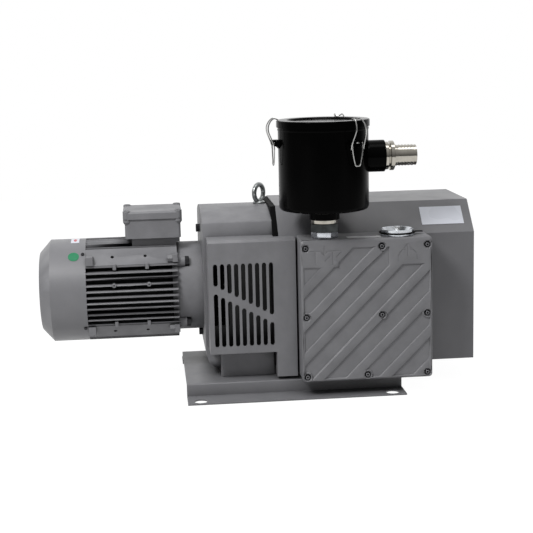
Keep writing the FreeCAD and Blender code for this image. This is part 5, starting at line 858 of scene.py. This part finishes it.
@dataclass
class CoverScrews:
    """Nine socket-head screws of the silencer's cover."""

    left: float = 12.9
    length: float = 315.0
    bottom: float = 39.5
    top: float = 381.5
    corner: float = 7.0
    inset: float = 12.0
    middle_x: float = 193.7
    lower_x: float = 157.5
    middle_z: float = 157.5
    seat_y: float = -213.1
    head_radius: float = 5.0
    head_height: float = 8.0
    chamfer: float = 0.6
    chamfer_depth: float = 0.7
    socket_radius: float = 2.4
    socket_depth: float = 4.0

    def places(self) -> list[tuple[float, float]]:
        """Return x and z of the nine screws."""
        x0, x1 = self.left + self.inset, self.left + self.length - self.inset
        z0, z1 = self.bottom + self.inset, self.top - self.corner - self.inset
        xm, zm = self.left + self.middle_x, self.bottom + self.middle_z
        return [(x0, z1), (xm, z1), (x1, z1), (x0, zm), (xm, zm), (x1, zm), (x0, z0),
                (self.left + self.lower_x, z0), (x1, z0)]

    def build(self) -> None:
        """Build each screw: a chamfered head with a hexagon socket."""
        bm = bmesh.new()
        front = self.seat_y - self.head_height
        for x, z in self.places():
            self.screw(bm, x, z, front)
        # Painted shade: the sockets' faces take the black coat.
        seal(bm, "cover_screws", SCREW_STEEL, replaces=("silencer_screws",), second=BLACK_COAT)

    def screw(self, bm: BMesh, x: float, z: float, front: float) -> None:
        """Add one screw whose head's face is at a depth."""
        rim = self.head_radius - self.chamfer
        verts = bmesh.ops.create_circle(bm, cap_ends=True, segments=24, radius=rim)["verts"]
        rotate(bm, verts, math.pi / 2, "X")
        bmesh.ops.translate(bm, verts=verts, vec=(x, front, z))
        face = verts[0].link_faces[0]
        out = bmesh.ops.extrude_edge_only(bm, edges=face.edges[:])["geom"]
        ring = [v for v in out if isinstance(v, BMVert)]
        middle = Vector((x, front, z))
        for vert in ring:
            vert.co = middle + (vert.co - middle) * (self.head_radius / rim)
        bmesh.ops.translate(bm, verts=ring, vec=(0, self.chamfer_depth, 0))
        brim = [e for e in out if isinstance(e, BMEdge)]
        out = bmesh.ops.extrude_edge_only(bm, edges=brim)["geom"]
        back = [v for v in out if isinstance(v, BMVert)]
        bmesh.ops.translate(bm, verts=back, vec=(0, self.head_height - self.chamfer_depth, 0))
        bmesh.ops.contextual_create(bm, geom=[e for e in out if isinstance(e, BMEdge)])
        bmesh.ops.inset_region(bm, faces=[face], thickness=rim - self.socket_radius)
        sunk = bmesh.ops.extrude_discrete_faces(bm, faces=[face])["faces"][0]
        bmesh.ops.translate(bm, verts=sunk.verts[:], vec=(0, self.socket_depth, 0))
        # Painted shade: the socket's floor and walls are coloured black for the shade in the
        # recess.
        for dark in {f for v in sunk.verts for f in v.link_faces}:
            dark.material_index = 1


@dataclass
class BarePlates:
    """The plates and films on the machine, all left bare."""

    hood_front_y: float = -118.7
    knee_z: float = 373.5
    top_front_y: float = -47.1
    top_z: float = 445.6
    silencer_top_z: float = 381.5
    label_x: tuple[float, float] = (330.0, 434.8)
    label_y: tuple[float, float] = (-101.0, -46.4)
    strip_x: tuple[float, float] = (128.0, 209.0)
    strip_y: tuple[float, float] = (-200.0, -178.0)

    def build(self) -> None:
        """Build the label on the hood's slope and the strip on the silencer."""
        bm = bmesh.new()
        front = self.label_y[0]
        verts = block(bm, (self.label_x[0], 0.0, 0.0),
                      (self.label_x[1], self.label_y[1] - front, 0.8), 0.15, 1)
        slope = math.atan2(self.top_z - self.knee_z, self.top_front_y - self.hood_front_y)
        rotate(bm, verts, slope, "X")
        rise = (front - self.hood_front_y) * math.tan(slope)
        bmesh.ops.translate(bm, verts=verts, vec=(0, front, self.knee_z + rise + 0.3))
        seal(bm, "hood_label", WHITE_FILM)
        bm = bmesh.new()
        z = self.silencer_top_z
        block(bm, (self.strip_x[0], self.strip_y[0], z),
              (self.strip_x[1], self.strip_y[1], z + 0.6), 0.2, 1)
        seal(bm, "silencer_strip", BRIGHT_STRIP)


@dataclass
class Castings:
    """Castings and folded sheets whose edges are rounded as a mould or a press leaves them."""

    def build(self) -> None:
        """Round the edges of the large pieces that show."""
        softened("gear_housing", 1.6, "housing_casting", AIR_ROOM_ENAMEL, seams=(-200.0, -150.0))
        softened("grille_cover", 0.8, "air_inlet_casting", AIR_ROOM_ENAMEL, merge=False)
        for node, width, name, finish in (
                ("silencer_body", 0.8, "silencer_casting", CAST_ENAMEL),
                ("front_foot", 1.2, "foot_casting", CAST_ENAMEL),
                ("terminal_box", 1.0, "terminal_box_casting", MOTOR_ENAMEL),
                ("terminal_lid", 0.8, "terminal_lid_casting", MOTOR_ENAMEL),
                ("fan_end_shield", 0.6, "fan_end_casting", MOTOR_ENAMEL),
                ("drive_end_shield", 0.6, "drive_end_casting", MOTOR_ENAMEL),
                ("fan_cowl", 0.4, "cowl_sheet", SHEET_COAT),
                ("filter_canister", 0.5, "canister_sheet", BLACK_COAT),
                ("filter_lid", 0.5, "filter_lid_sheet", BLACK_COAT),
                ("hood_seal", 0.5, "hood_collar", RUBBER),
                ("base_frame", 0.6, "base_sheet", SHEET_COAT),
                ("acoustic_hood", 0.6, "hood_sheet", HOOD_COAT_WITH_PAINTED_SHADE)):
            softened(node, width, name, finish)


@dataclass
class MotorShell:
    """The motor's finned frame and lantern, with the small forms cast on them."""

    axis_y: float = 61.0
    axis_z: float = 235.5
    frame_left: float = -497.5
    frame_right: float = -285.0
    flange: float = -272.0
    boss: float = -263.0
    head_end: float = -253.0
    boss_longer: float = 10.0
    bolt_x: float = -290.0
    bolt_corner: float = 9.8
    bolt_length: float = 12.0
    pad_y: float = -44.0
    pad_z: float = 311.5
    cowl_radius: float = 129.0

    def lengthened(self, place: Vector) -> float:
        """Return how far a corner of the frame is moved: its fins run on over the end shield."""
        return self.flange - self.frame_right if place.x > self.frame_right - 1 else 0.0

    def boss_moved(self, place: Vector) -> float:
        """Return how far a corner of a boss or of a bolt's head is moved towards the lantern."""
        inside = self.boss - 1 < place.x < self.head_end + 2
        return self.boss_longer if inside else 0.0

    def lugs(self) -> None:
        """Build the square lugs at the fan's end and the nubs and eyes between the fins."""
        bm = bmesh.new()
        x0, y, z = self.frame_left, self.axis_y, self.axis_z
        for low, high in ((312.0, 334.0), (2 * z - 334.0, 2 * z - 312.0)):
            for front, back in ((-49.0, -22.0), (2 * y + 22.0, 2 * y + 49.0)):
                block(bm, (x0 + 0.5, front, low), (x0 + 19.0, back, high), 2.0)
        for x in (-427.0, -347.0):
            for low, high in ((self.pad_z - 12.0, self.pad_z + 3.0), (2 * z - self.pad_z - 3.0,
                                                                     2 * z - self.pad_z + 12.0)):
                block(bm, (x - 4.5, self.pad_y - 6.0, low), (x + 4.5, self.pad_y + 6.0, high), 2.0)
        seal(bm, "frame_lugs", MOTOR_ENAMEL)
        bm = bmesh.new()
        for x in (-428.8, -343.6):
            turned(bm, [(1.8, 0.0), (4.6, 0.0), (5.4, 0.8), (5.4, 9.0), (1.8, 9.0)],
                   (x, -68.2, 264.7), Axis.Y, 20)
        seal(bm, "fin_eyes", MOTOR_ENAMEL)

    def end_bolts(self) -> None:
        """Build the hexagon bolts that hold the end shield to the frame's pads."""
        bm = bmesh.new()
        for y in (-39.0, 2 * self.axis_y + 39.0):
            for z in (324.0, 2 * self.axis_z - 324.0):
                ring = hexagon(bm, self.bolt_corner, self.bolt_length)
                rotate(bm, ring, math.pi / 2, "Y")
                bmesh.ops.translate(bm, verts=ring, vec=(self.bolt_x, y, z))
                inner = 20.0 if y < self.axis_y else -20.0
                block(bm, (-284.0, min(y - 9.0, y + inner), z - 10.0),
                      (-270.5, max(y + 9.0, y + inner), z + 10.0), 1.5)
        seal(bm, "frame_bolts", MOTOR_ENAMEL, angle=25.0)

    def sticker(self, name: str, finish: Finish, x: tuple[float, float], angle: tuple[float, float],
                round_ends: bool) -> None:
        """Lay a thin film on the cowl's cylinder.

        Args:
            name: The film's name.
            finish: What it is dressed in.
            x: Its two ends along X.
            angle: Its two ends round the cowl, in degrees up from the front.
            round_ends: True for an oval film, False for a rectangle.
        """
        bm = bmesh.new()
        steps = 20
        middle_x, half_x = sum(x) / 2, (x[1] - x[0]) / 2
        middle_a, half_a = sum(angle) / 2, (angle[1] - angle[0]) / 2
        columns = []
        for k in range(steps + 1):
            u = -1 + 2 * k / steps
            tall = math.sqrt(max(1 - u * u, 0.0004)) if round_ends else 1.0
            column = []
            for j in range(9):
                a = math.radians(middle_a + half_a * tall * (-1 + j / 4))
                out = self.cowl_radius + 0.25
                column.append(bm.verts.new((middle_x + half_x * u,
                                            self.axis_y - out * math.cos(a),
                                            self.axis_z + out * math.sin(a))))
            columns.append(column)
        for left, right in zip(columns, columns[1:]):
            for j in range(8):
                bm.faces.new((left[j], right[j], right[j + 1], left[j + 1]))
        seal(bm, name, finish, turned_out=False)

    def build(self) -> None:
        """Build the frame, the lantern, its bolts and the films on the cowl."""
        softened("motor_frame", 0.9, "frame_casting", MOTOR_ENAMEL, move=self.lengthened)
        softened("motor_lantern", 1.0, "lantern_casting", CAST_ENAMEL, move=self.boss_moved)
        softened("hex_bolts", 0.6, "hexagon_bolts", BLACK_OXIDE, move=self.boss_moved)
        self.lugs()
        self.end_bolts()
        self.sticker("green_film", GREEN_FILM, (-540.2, -513.1), (43.3, 55.3), True)
        self.sticker("white_film", WHITE_FILM, (-534.2, -513.6), (74.1, 92.0), False)
        self.sticker("red_film", RED_FILM, (-527.5, -519.5), (78.0, 88.0), True)


@dataclass
class LidCorners:
    """The screw bosses on the terminal box's lid and the lugs under them."""

    x: float = -329.0
    y: float = 61.0
    reach: float = 63.5
    joint_z: float = 418.0
    radius: float = 9.5

    def build(self) -> None:
        """Build a round boss, a screw head and a lug at each corner."""
        bm = bmesh.new()
        heads = bmesh.new()
        for side_x in (-1, 1):
            for side_y in (-1, 1):
                foot = (self.x + side_x * self.reach, self.y + side_y * self.reach, self.joint_z)
                turned(bm, [(2.8, 1.0), (self.radius, 1.0), (self.radius, 20.0),
                            (self.radius - 1.2, 21.5), (6.2, 21.5), (6.2, 15.5), (2.8, 15.5)],
                       foot, steps=28)
                turned(bm, [(0.001, -15.0), (4.0, -15.0), (self.radius, -7.0), (self.radius, -0.6),
                            (0.001, -0.6)], foot, steps=28)
                turned(heads, [(0.001, 15.6), (4.6, 15.6), (4.6, 18.4), (3.9, 19.1), (0.001, 19.1)],
                       foot, steps=20)
        seal(bm, "lid_bosses", MOTOR_ENAMEL)
        seal(heads, "lid_screws", ZINC, replaces=("terminal_screws",))


@dataclass
class Fittings:
    """The turned fittings: inlet union, hose nozzle, outlet socket, and the canister's walls."""

    x: float = 77.4
    y: float = -172.2
    silencer_top: float = 381.5
    socket_z: float = 571.5
    socket_end: float = 222.0
    nozzle_end: float = 297.6
    outlet_x: float = 252.5
    foot_corner: float = 32.2
    foot_top: float = 396.4
    foot_turn: float = 19.3
    nut_corner: float = 37.2
    nut_low: float = 396.6
    nut_top: float = 416.4
    nut_turn: float = -8.0
    collar_top: float = 426.0
    barbs: int = 6

    def nut(self, bm: BMesh, corner: float, low: float, high: float, turn: float) -> None:
        """Add a hexagonal nut with bevelled corners, its bore left to the union's own wall."""
        verts = hexagon(bm, corner, high - low)
        rotate(bm, verts, math.radians(turn), "Z")
        bmesh.ops.translate(bm, verts=verts, vec=(self.x, self.y, (low + high) / 2))
        bevelled(bm, list({e for v in verts for e in v.link_edges}), 1.0)

    def union(self) -> None:
        """Build the two nuts and the ring between silencer and filter."""
        bm = bmesh.new()
        self.nut(bm, self.foot_corner, self.silencer_top, self.foot_top, self.foot_turn)
        # Painted highlight: the foot nut takes the brighter copy of the nickel.
        seal(bm, "union_foot", NICKEL_WITH_PAINTED_HIGHLIGHT, angle=28.0)
        bm = bmesh.new()
        low, high = self.nut_top, self.collar_top
        turned(bm, [(25.0, low), (31.0, low), (32.0, low + 1.0), (32.0, high - 1.2), (31.0, high),
                    (25.0, high)], (self.x, self.y, 0.0))
        seal(bm, "union_collar", NICKEL, replaces=("inlet_fitting",))
        bm = bmesh.new()
        self.nut(bm, self.nut_corner, self.nut_low, self.nut_top, self.nut_turn)
        # Painted shade: the middle nut takes the darker copy of the nickel.
        seal(bm, "union_nut", NICKEL_WITH_PAINTED_SHADE, angle=28.0)

    def nozzle(self) -> None:
        """Build the nozzle: a plug, two collars and a barbed tube."""
        x0, x3 = self.socket_end, self.nozzle_end
        profile = [(r, x0 + a) for r, a in (
            (21.0, -16.0), (29.8, -16.0), (29.8, 0.0), (32.2, 0.0), (33.0, 0.8), (33.0, 7.2),
            (32.2, 8.0), (27.0, 8.0), (27.0, 12.0), (34.0, 12.0), (35.0, 13.0), (35.0, 21.0),
            (34.0, 22.0), (25.0, 22.0))]
        pitch = (x3 - x0 - 22) / (self.barbs + 1)
        for k in range(1, self.barbs + 1):
            place = x0 + 22 + k * pitch
            profile += [(25.0, place - 1.4), (24.8, place - 0.3), (23.2, place)]
        profile += [(24.4, x3 - 0.6), (23.8, x3), (21.6, x3), (21.0, x3 - 0.6)]
        bm = bmesh.new()
        turned(bm, profile, (0.0, self.y, self.socket_z), Axis.X, 96)
        seal(bm, "barbed_nozzle", NICKEL, replaces=("hose_nozzle",))

    def outlet(self) -> None:
        """Build the outlet's nut and its ring above the seal."""
        z = self.silencer_top
        bm = bmesh.new()
        turned(bm, [(28.0, -8.0), (30.8, -8.0), (30.8, 0.0), (40.2, 0.0), (41.0, 0.8), (41.0, 4.2),
                    (40.2, 5.0), (31.0, 5.0), (31.0, 7.5), (38.2, 7.5), (39.0, 8.3), (39.0, 14.0),
                    (38.4, 14.8), (37.6, 15.0), (36.8, 14.6), (28.6, 5.5), (28.0, 4.0)],
               (self.outlet_x, self.y, z), steps=96)
        # Painted highlight: the socket takes the brighter copy of the nickel.
        seal(bm, "outlet_socket", NICKEL_WITH_PAINTED_HIGHLIGHT, replaces=("outlet_ring",))
        bm = bmesh.new()
        block(bm, (self.outlet_x + 40.0, self.y - 6.0, z + 5.2),
              (self.outlet_x + 62.0, self.y + 6.0, z + 7.4), 0.6)
        seal(bm, "outlet_seal_tab", RUBBER)

    def bead(self) -> None:
        """Build the canister's smooth wall with the bead under its lid, and the socket's wall."""
        bm = bmesh.new()
        turned(bm, [(104.0, 456.0), (100.6, 450.5), (103.4, 452.2), (105.6, 455.4), (106.5, 459.5),
                    (106.5, 636.6), (107.6, 638.6), (107.6, 641.0), (106.5, 643.2), (106.5, 648.0),
                    (105.2, 648.0)], (self.x, self.y, 0.0), steps=96)
        end = self.socket_end
        turned(bm, [(36.0, 183.0), (37.6, 183.0), (37.6, end - 0.9), (36.8, end), (36.0, end)],
               (0.0, self.y, self.socket_z), Axis.X)
        seal(bm, "canister_walls", BLACK_COAT)

    def build(self) -> None:
        """Build all the fittings."""
        self.union()
        self.nozzle()
        self.outlet()
        self.bead()


@dataclass
class ValveSpring:
    """The check valve's coil spring; the copy keeps its length while the plate opens."""

    stroke: float = 12.0

    def build(self) -> None:
        """Copy the coil."""
        coil = seal(cad_copy("check_valve_spring"), "valve_spring_wire", SPRING_STEEL,
                    replaces=("check_valve_spring",), turned_out=False)
        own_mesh(coil)


@dataclass
class SilencerCover:
    """The silencer's cover: drafted pockets and sunk line symbols for inlet and outlet."""

    front_y: float = -221.6
    pocket_draft: float = 3.1
    smallest_side: float = 4.5
    line_depth: float = 1.4
    inlet_width: float = 5.2
    outlet_width: float = 3.6
    inlet: tuple[tuple[tuple[float, float], ...], ...] = (
        ((33.0, 355.5), (61.0, 355.0)), ((69.5, 368.0), (69.5, 347.0)),
        ((78.0, 354.5), (108.0, 355.5)),
        ((63.0, 353.0), (69.5, 346.5), (76.0, 353.0)), ((98.6, 341.0), (109.0, 352.0)),
        ((71.0, 332.0), (82.5, 342.0)), ((48.3, 352.0), (48.3, 325.0)),
        ((89.7, 352.0), (89.7, 324.0)))
    outlet: tuple[tuple[tuple[float, float], ...], ...] = (
        ((246.0, 327.0), (246.0, 338.0), (250.0, 346.0), (256.0, 351.0), (262.0, 353.0)),
        ((275.0, 353.0), (281.0, 351.0), (287.0, 346.0), (291.0, 338.0), (291.0, 329.0)),
        ((268.5, 338.0), (268.5, 360.0)), ((259.5, 356.5), (268.5, 366.0), (277.5, 356.5)))

    def stroke(self, bm: BMesh, start: tuple[float, float], end: tuple[float, float],
               width: float, lift: float) -> None:
        """Add the wedge-sided bar that sinks one line, between two (x, z) places.

        Args:
            bm: The mesh that gets it.
            start: The line's start.
            end: The line's end.
            width: How wide the line is.
            lift: A small step in depth that keeps crossing bars from sharing a face.
        """
        length = math.dist(start, end) + width * 0.6
        turn = math.atan2(end[1] - start[1], end[0] - start[0])
        half = width / 2
        deep = self.line_depth - lift
        verts = block(bm, (-length / 2, -1.0, -half), (length / 2, deep, half))
        for vert in verts:
            grow = 1.0 if vert.co.y < 0 else -deep
            vert.co.x += grow * math.copysign(1.0, vert.co.x)
            vert.co.z += grow * math.copysign(1.0, vert.co.z)
        rotate(bm, verts, -turn, "Y")
        middle = ((start[0] + end[0]) / 2, self.front_y, (start[1] + end[1]) / 2)
        bmesh.ops.translate(bm, verts=verts, vec=middle)

    def symbols(self) -> BMesh:
        """Return all the bars that sink the two symbols' lines."""
        bm = bmesh.new()
        count = 0
        for runs, width in ((self.inlet, self.inlet_width), (self.outlet, self.outlet_width)):
            for run in runs:
                for start, end in zip(run, run[1:]):
                    self.stroke(bm, start, end, width, 0.013 * count)
                    count += 1
        return bm

    def pocket_rim(self, edge: BMEdge) -> bool:
        """Return whether an edge is a pocket's rim, in the front face above an upright wall."""
        if len(edge.link_faces) != 2 or edge.calc_length() < self.smallest_side:
            return False
        flat = all(abs(v.co.y - self.front_y) < 0.05 for v in edge.verts)
        leans = sorted(abs(f.normal.y) for f in edge.link_faces)
        return flat and leans[0] < 0.1 and leans[1] > 0.99

    def build(self) -> None:
        """Draft the pockets and sink the symbols."""
        bm = cad_copy("silencer_cover")
        bmesh.ops.remove_doubles(bm, verts=bm.verts[:], dist=MERGE)
        rims = [e for e in bm.edges if self.pocket_rim(e)]
        bevelled(bm, rims, self.pocket_draft, 1)
        bm = combined([bm, self.symbols()], "DIFFERENCE")
        seal(bm, "silencer_cover_casting", CAST_ENAMEL, replaces=("silencer_cover",),
             turned_out=False)


@dataclass
class Studio:
    """Camera, floor and light of a plain product picture."""

    focal: float = 83.8
    sensor: float = 36.0
    position: tuple[float, float, float] = (-0.3354, -3.0694, 0.8368)
    right: tuple[float, float, float] = (0.99493628, -0.09766666, -0.02372799)
    up: tuple[float, float, float] = (0.04045295, 0.17301377, 0.98408831)
    forward: tuple[float, float, float] = (0.09200735, 0.98006503, -0.17608859)
    horizon: float = 0.15
    zenith: float = 0.6
    floor_half: float = 4.0
    floor_glow: float = 1.22
    floor_share: float = 0.8
    lamps: tuple[tuple[str, tuple[float, float, float], float, float], ...] = (
        ("key", (-1.4, -1.5, 2.3), 0.7, 48.0), ("overhead", (0.2, -0.4, 2.6), 1.0, 10.0))

    def camera(self) -> None:
        """Set the camera up where the picture was taken from."""
        data = bpy.data.cameras.new("camera")
        data.lens = self.focal
        data.sensor_width = self.sensor
        data.sensor_fit = "HORIZONTAL"
        data.clip_end = 50.0
        camera = placed("camera", data)
        back = [-c for c in self.forward]
        turn = Matrix((self.right, self.up, back)).transposed().to_4x4()
        camera.matrix_world = Matrix.Translation(self.position) @ turn
        bpy.context.scene.camera = camera

    def floor(self) -> None:
        """Build a pale floor that shows white and keeps a soft shadow."""
        bm = bmesh.new()
        bmesh.ops.create_grid(bm, x_segments=1, y_segments=1, size=self.floor_half)
        mesh = bpy.data.meshes.new("floor")
        bm.to_mesh(mesh)
        bm.free()
        floor = placed("floor", mesh)
        material = bpy.data.materials.new("pale_studio_floor")
        material.use_nodes = True
        tree = material.node_tree
        shader = tree.nodes["Principled BSDF"]
        shader.inputs["Base Color"].default_value = (0.5, 0.5, 0.5, 1.0)
        shader.inputs["Roughness"].default_value = 0.9
        glow = add(tree, "Emission", None, {"Color": (1, 1, 1, 1), "Strength": self.floor_glow})
        rays = add(tree, "LightPath").outputs
        seen = maths(tree, "MAXIMUM", rays["Is Camera Ray"], rays["Is Glossy Ray"])
        seen = maths(tree, "MAXIMUM", seen, rays["Is Transmission Ray"])
        share = maths(tree, "MULTIPLY", seen, self.floor_share)
        mix = add(tree, "MixShader", None, {0: share, 1: shader.outputs[0], 2: glow.outputs[0]})
        tree.links.new(mix.outputs[0], tree.nodes["Material Output"].inputs["Surface"])
        mesh.materials.append(material)

    def world(self) -> None:
        """Light the room softly from above.

        The camera sees it white. Mirror and glass rays see the white backdrop behind the object and
        the darker room in front of it.
        """
        world = bpy.data.worlds.new("studio")
        bpy.context.scene.world = world
        world.use_nodes = True
        tree = world.node_tree
        tree.nodes.clear()
        direction = add(tree, "TexCoord").outputs["Generated"]
        _, depth, height = add(tree, "SeparateXYZ", None, {0: direction}).outputs
        sky = spread(tree, height, 0.0, 0.85, self.horizon, self.zenith)
        rays = add(tree, "LightPath").outputs
        mirror = maths(tree, "MAXIMUM", rays["Is Glossy Ray"], rays["Is Transmission Ray"])
        backdrop = maths(tree, "MULTIPLY", mirror, spread(tree, depth, 0.2, 0.7))
        white = maths(tree, "MAXIMUM", rays["Is Camera Ray"], backdrop)
        strength = add(tree, "Mix", {"data_type": "FLOAT"}, {0: white, 2: sky, 3: 1.0})
        background = add(tree, "Background", None,
                         {"Color": (1, 1, 1, 1), "Strength": strength.outputs[0]})
        output = add(tree, "OutputWorld")
        tree.links.new(background.outputs[0], output.inputs[0])

    def lamp(self, name: str, place: Sequence[float], size: float, watts: float) -> None:
        """Hang a soft square lamp that points at the middle of the object.

        Args:
            name: The lamp's name.
            place: Where it hangs, in metres.
            size: Its side in metres.
            watts: Its power.
        """
        data = bpy.data.lights.new(name, "AREA")
        data.shape = "SQUARE"
        data.size = size
        data.energy = watts
        lamp = placed(name, data)
        aim = Vector((0, 0, 0.3)) - Vector(place)
        turn = aim.to_track_quat("-Z", "Y").to_matrix().to_4x4()
        lamp.matrix_world = Matrix.Translation(place) @ turn

    def build(self) -> None:
        """Set up camera, world, floor and lamps."""
        self.camera()
        self.world()
        self.floor()
        for lamp in self.lamps:
            self.lamp(*lamp)
        bpy.context.scene.view_settings.view_transform = "Standard"


def dress_nodes() -> None:
    """Give every CAD node its finish."""
    for finish, nodes in NODE_FINISH.items():
        for node in nodes:
            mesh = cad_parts[node].data
            mesh.materials.clear()
            mesh.materials.append(finish.material())


def main() -> None:
    """Build the pump's pieces in order and light them."""
    logging.basicConfig(level=logging.INFO, format="%(message)s")
    dress_nodes()
    for part in (Castings(), MotorShell(), LidCorners(), LiftingEye(), Fittings(), FilterClips(),
                 ValveSpring(), SilencerCover(), CoverScrews(), BarePlates(), Studio()):
        part.build()
        LOG.info("built %s", type(part).__name__)


if __name__ == "__main__":
    main()
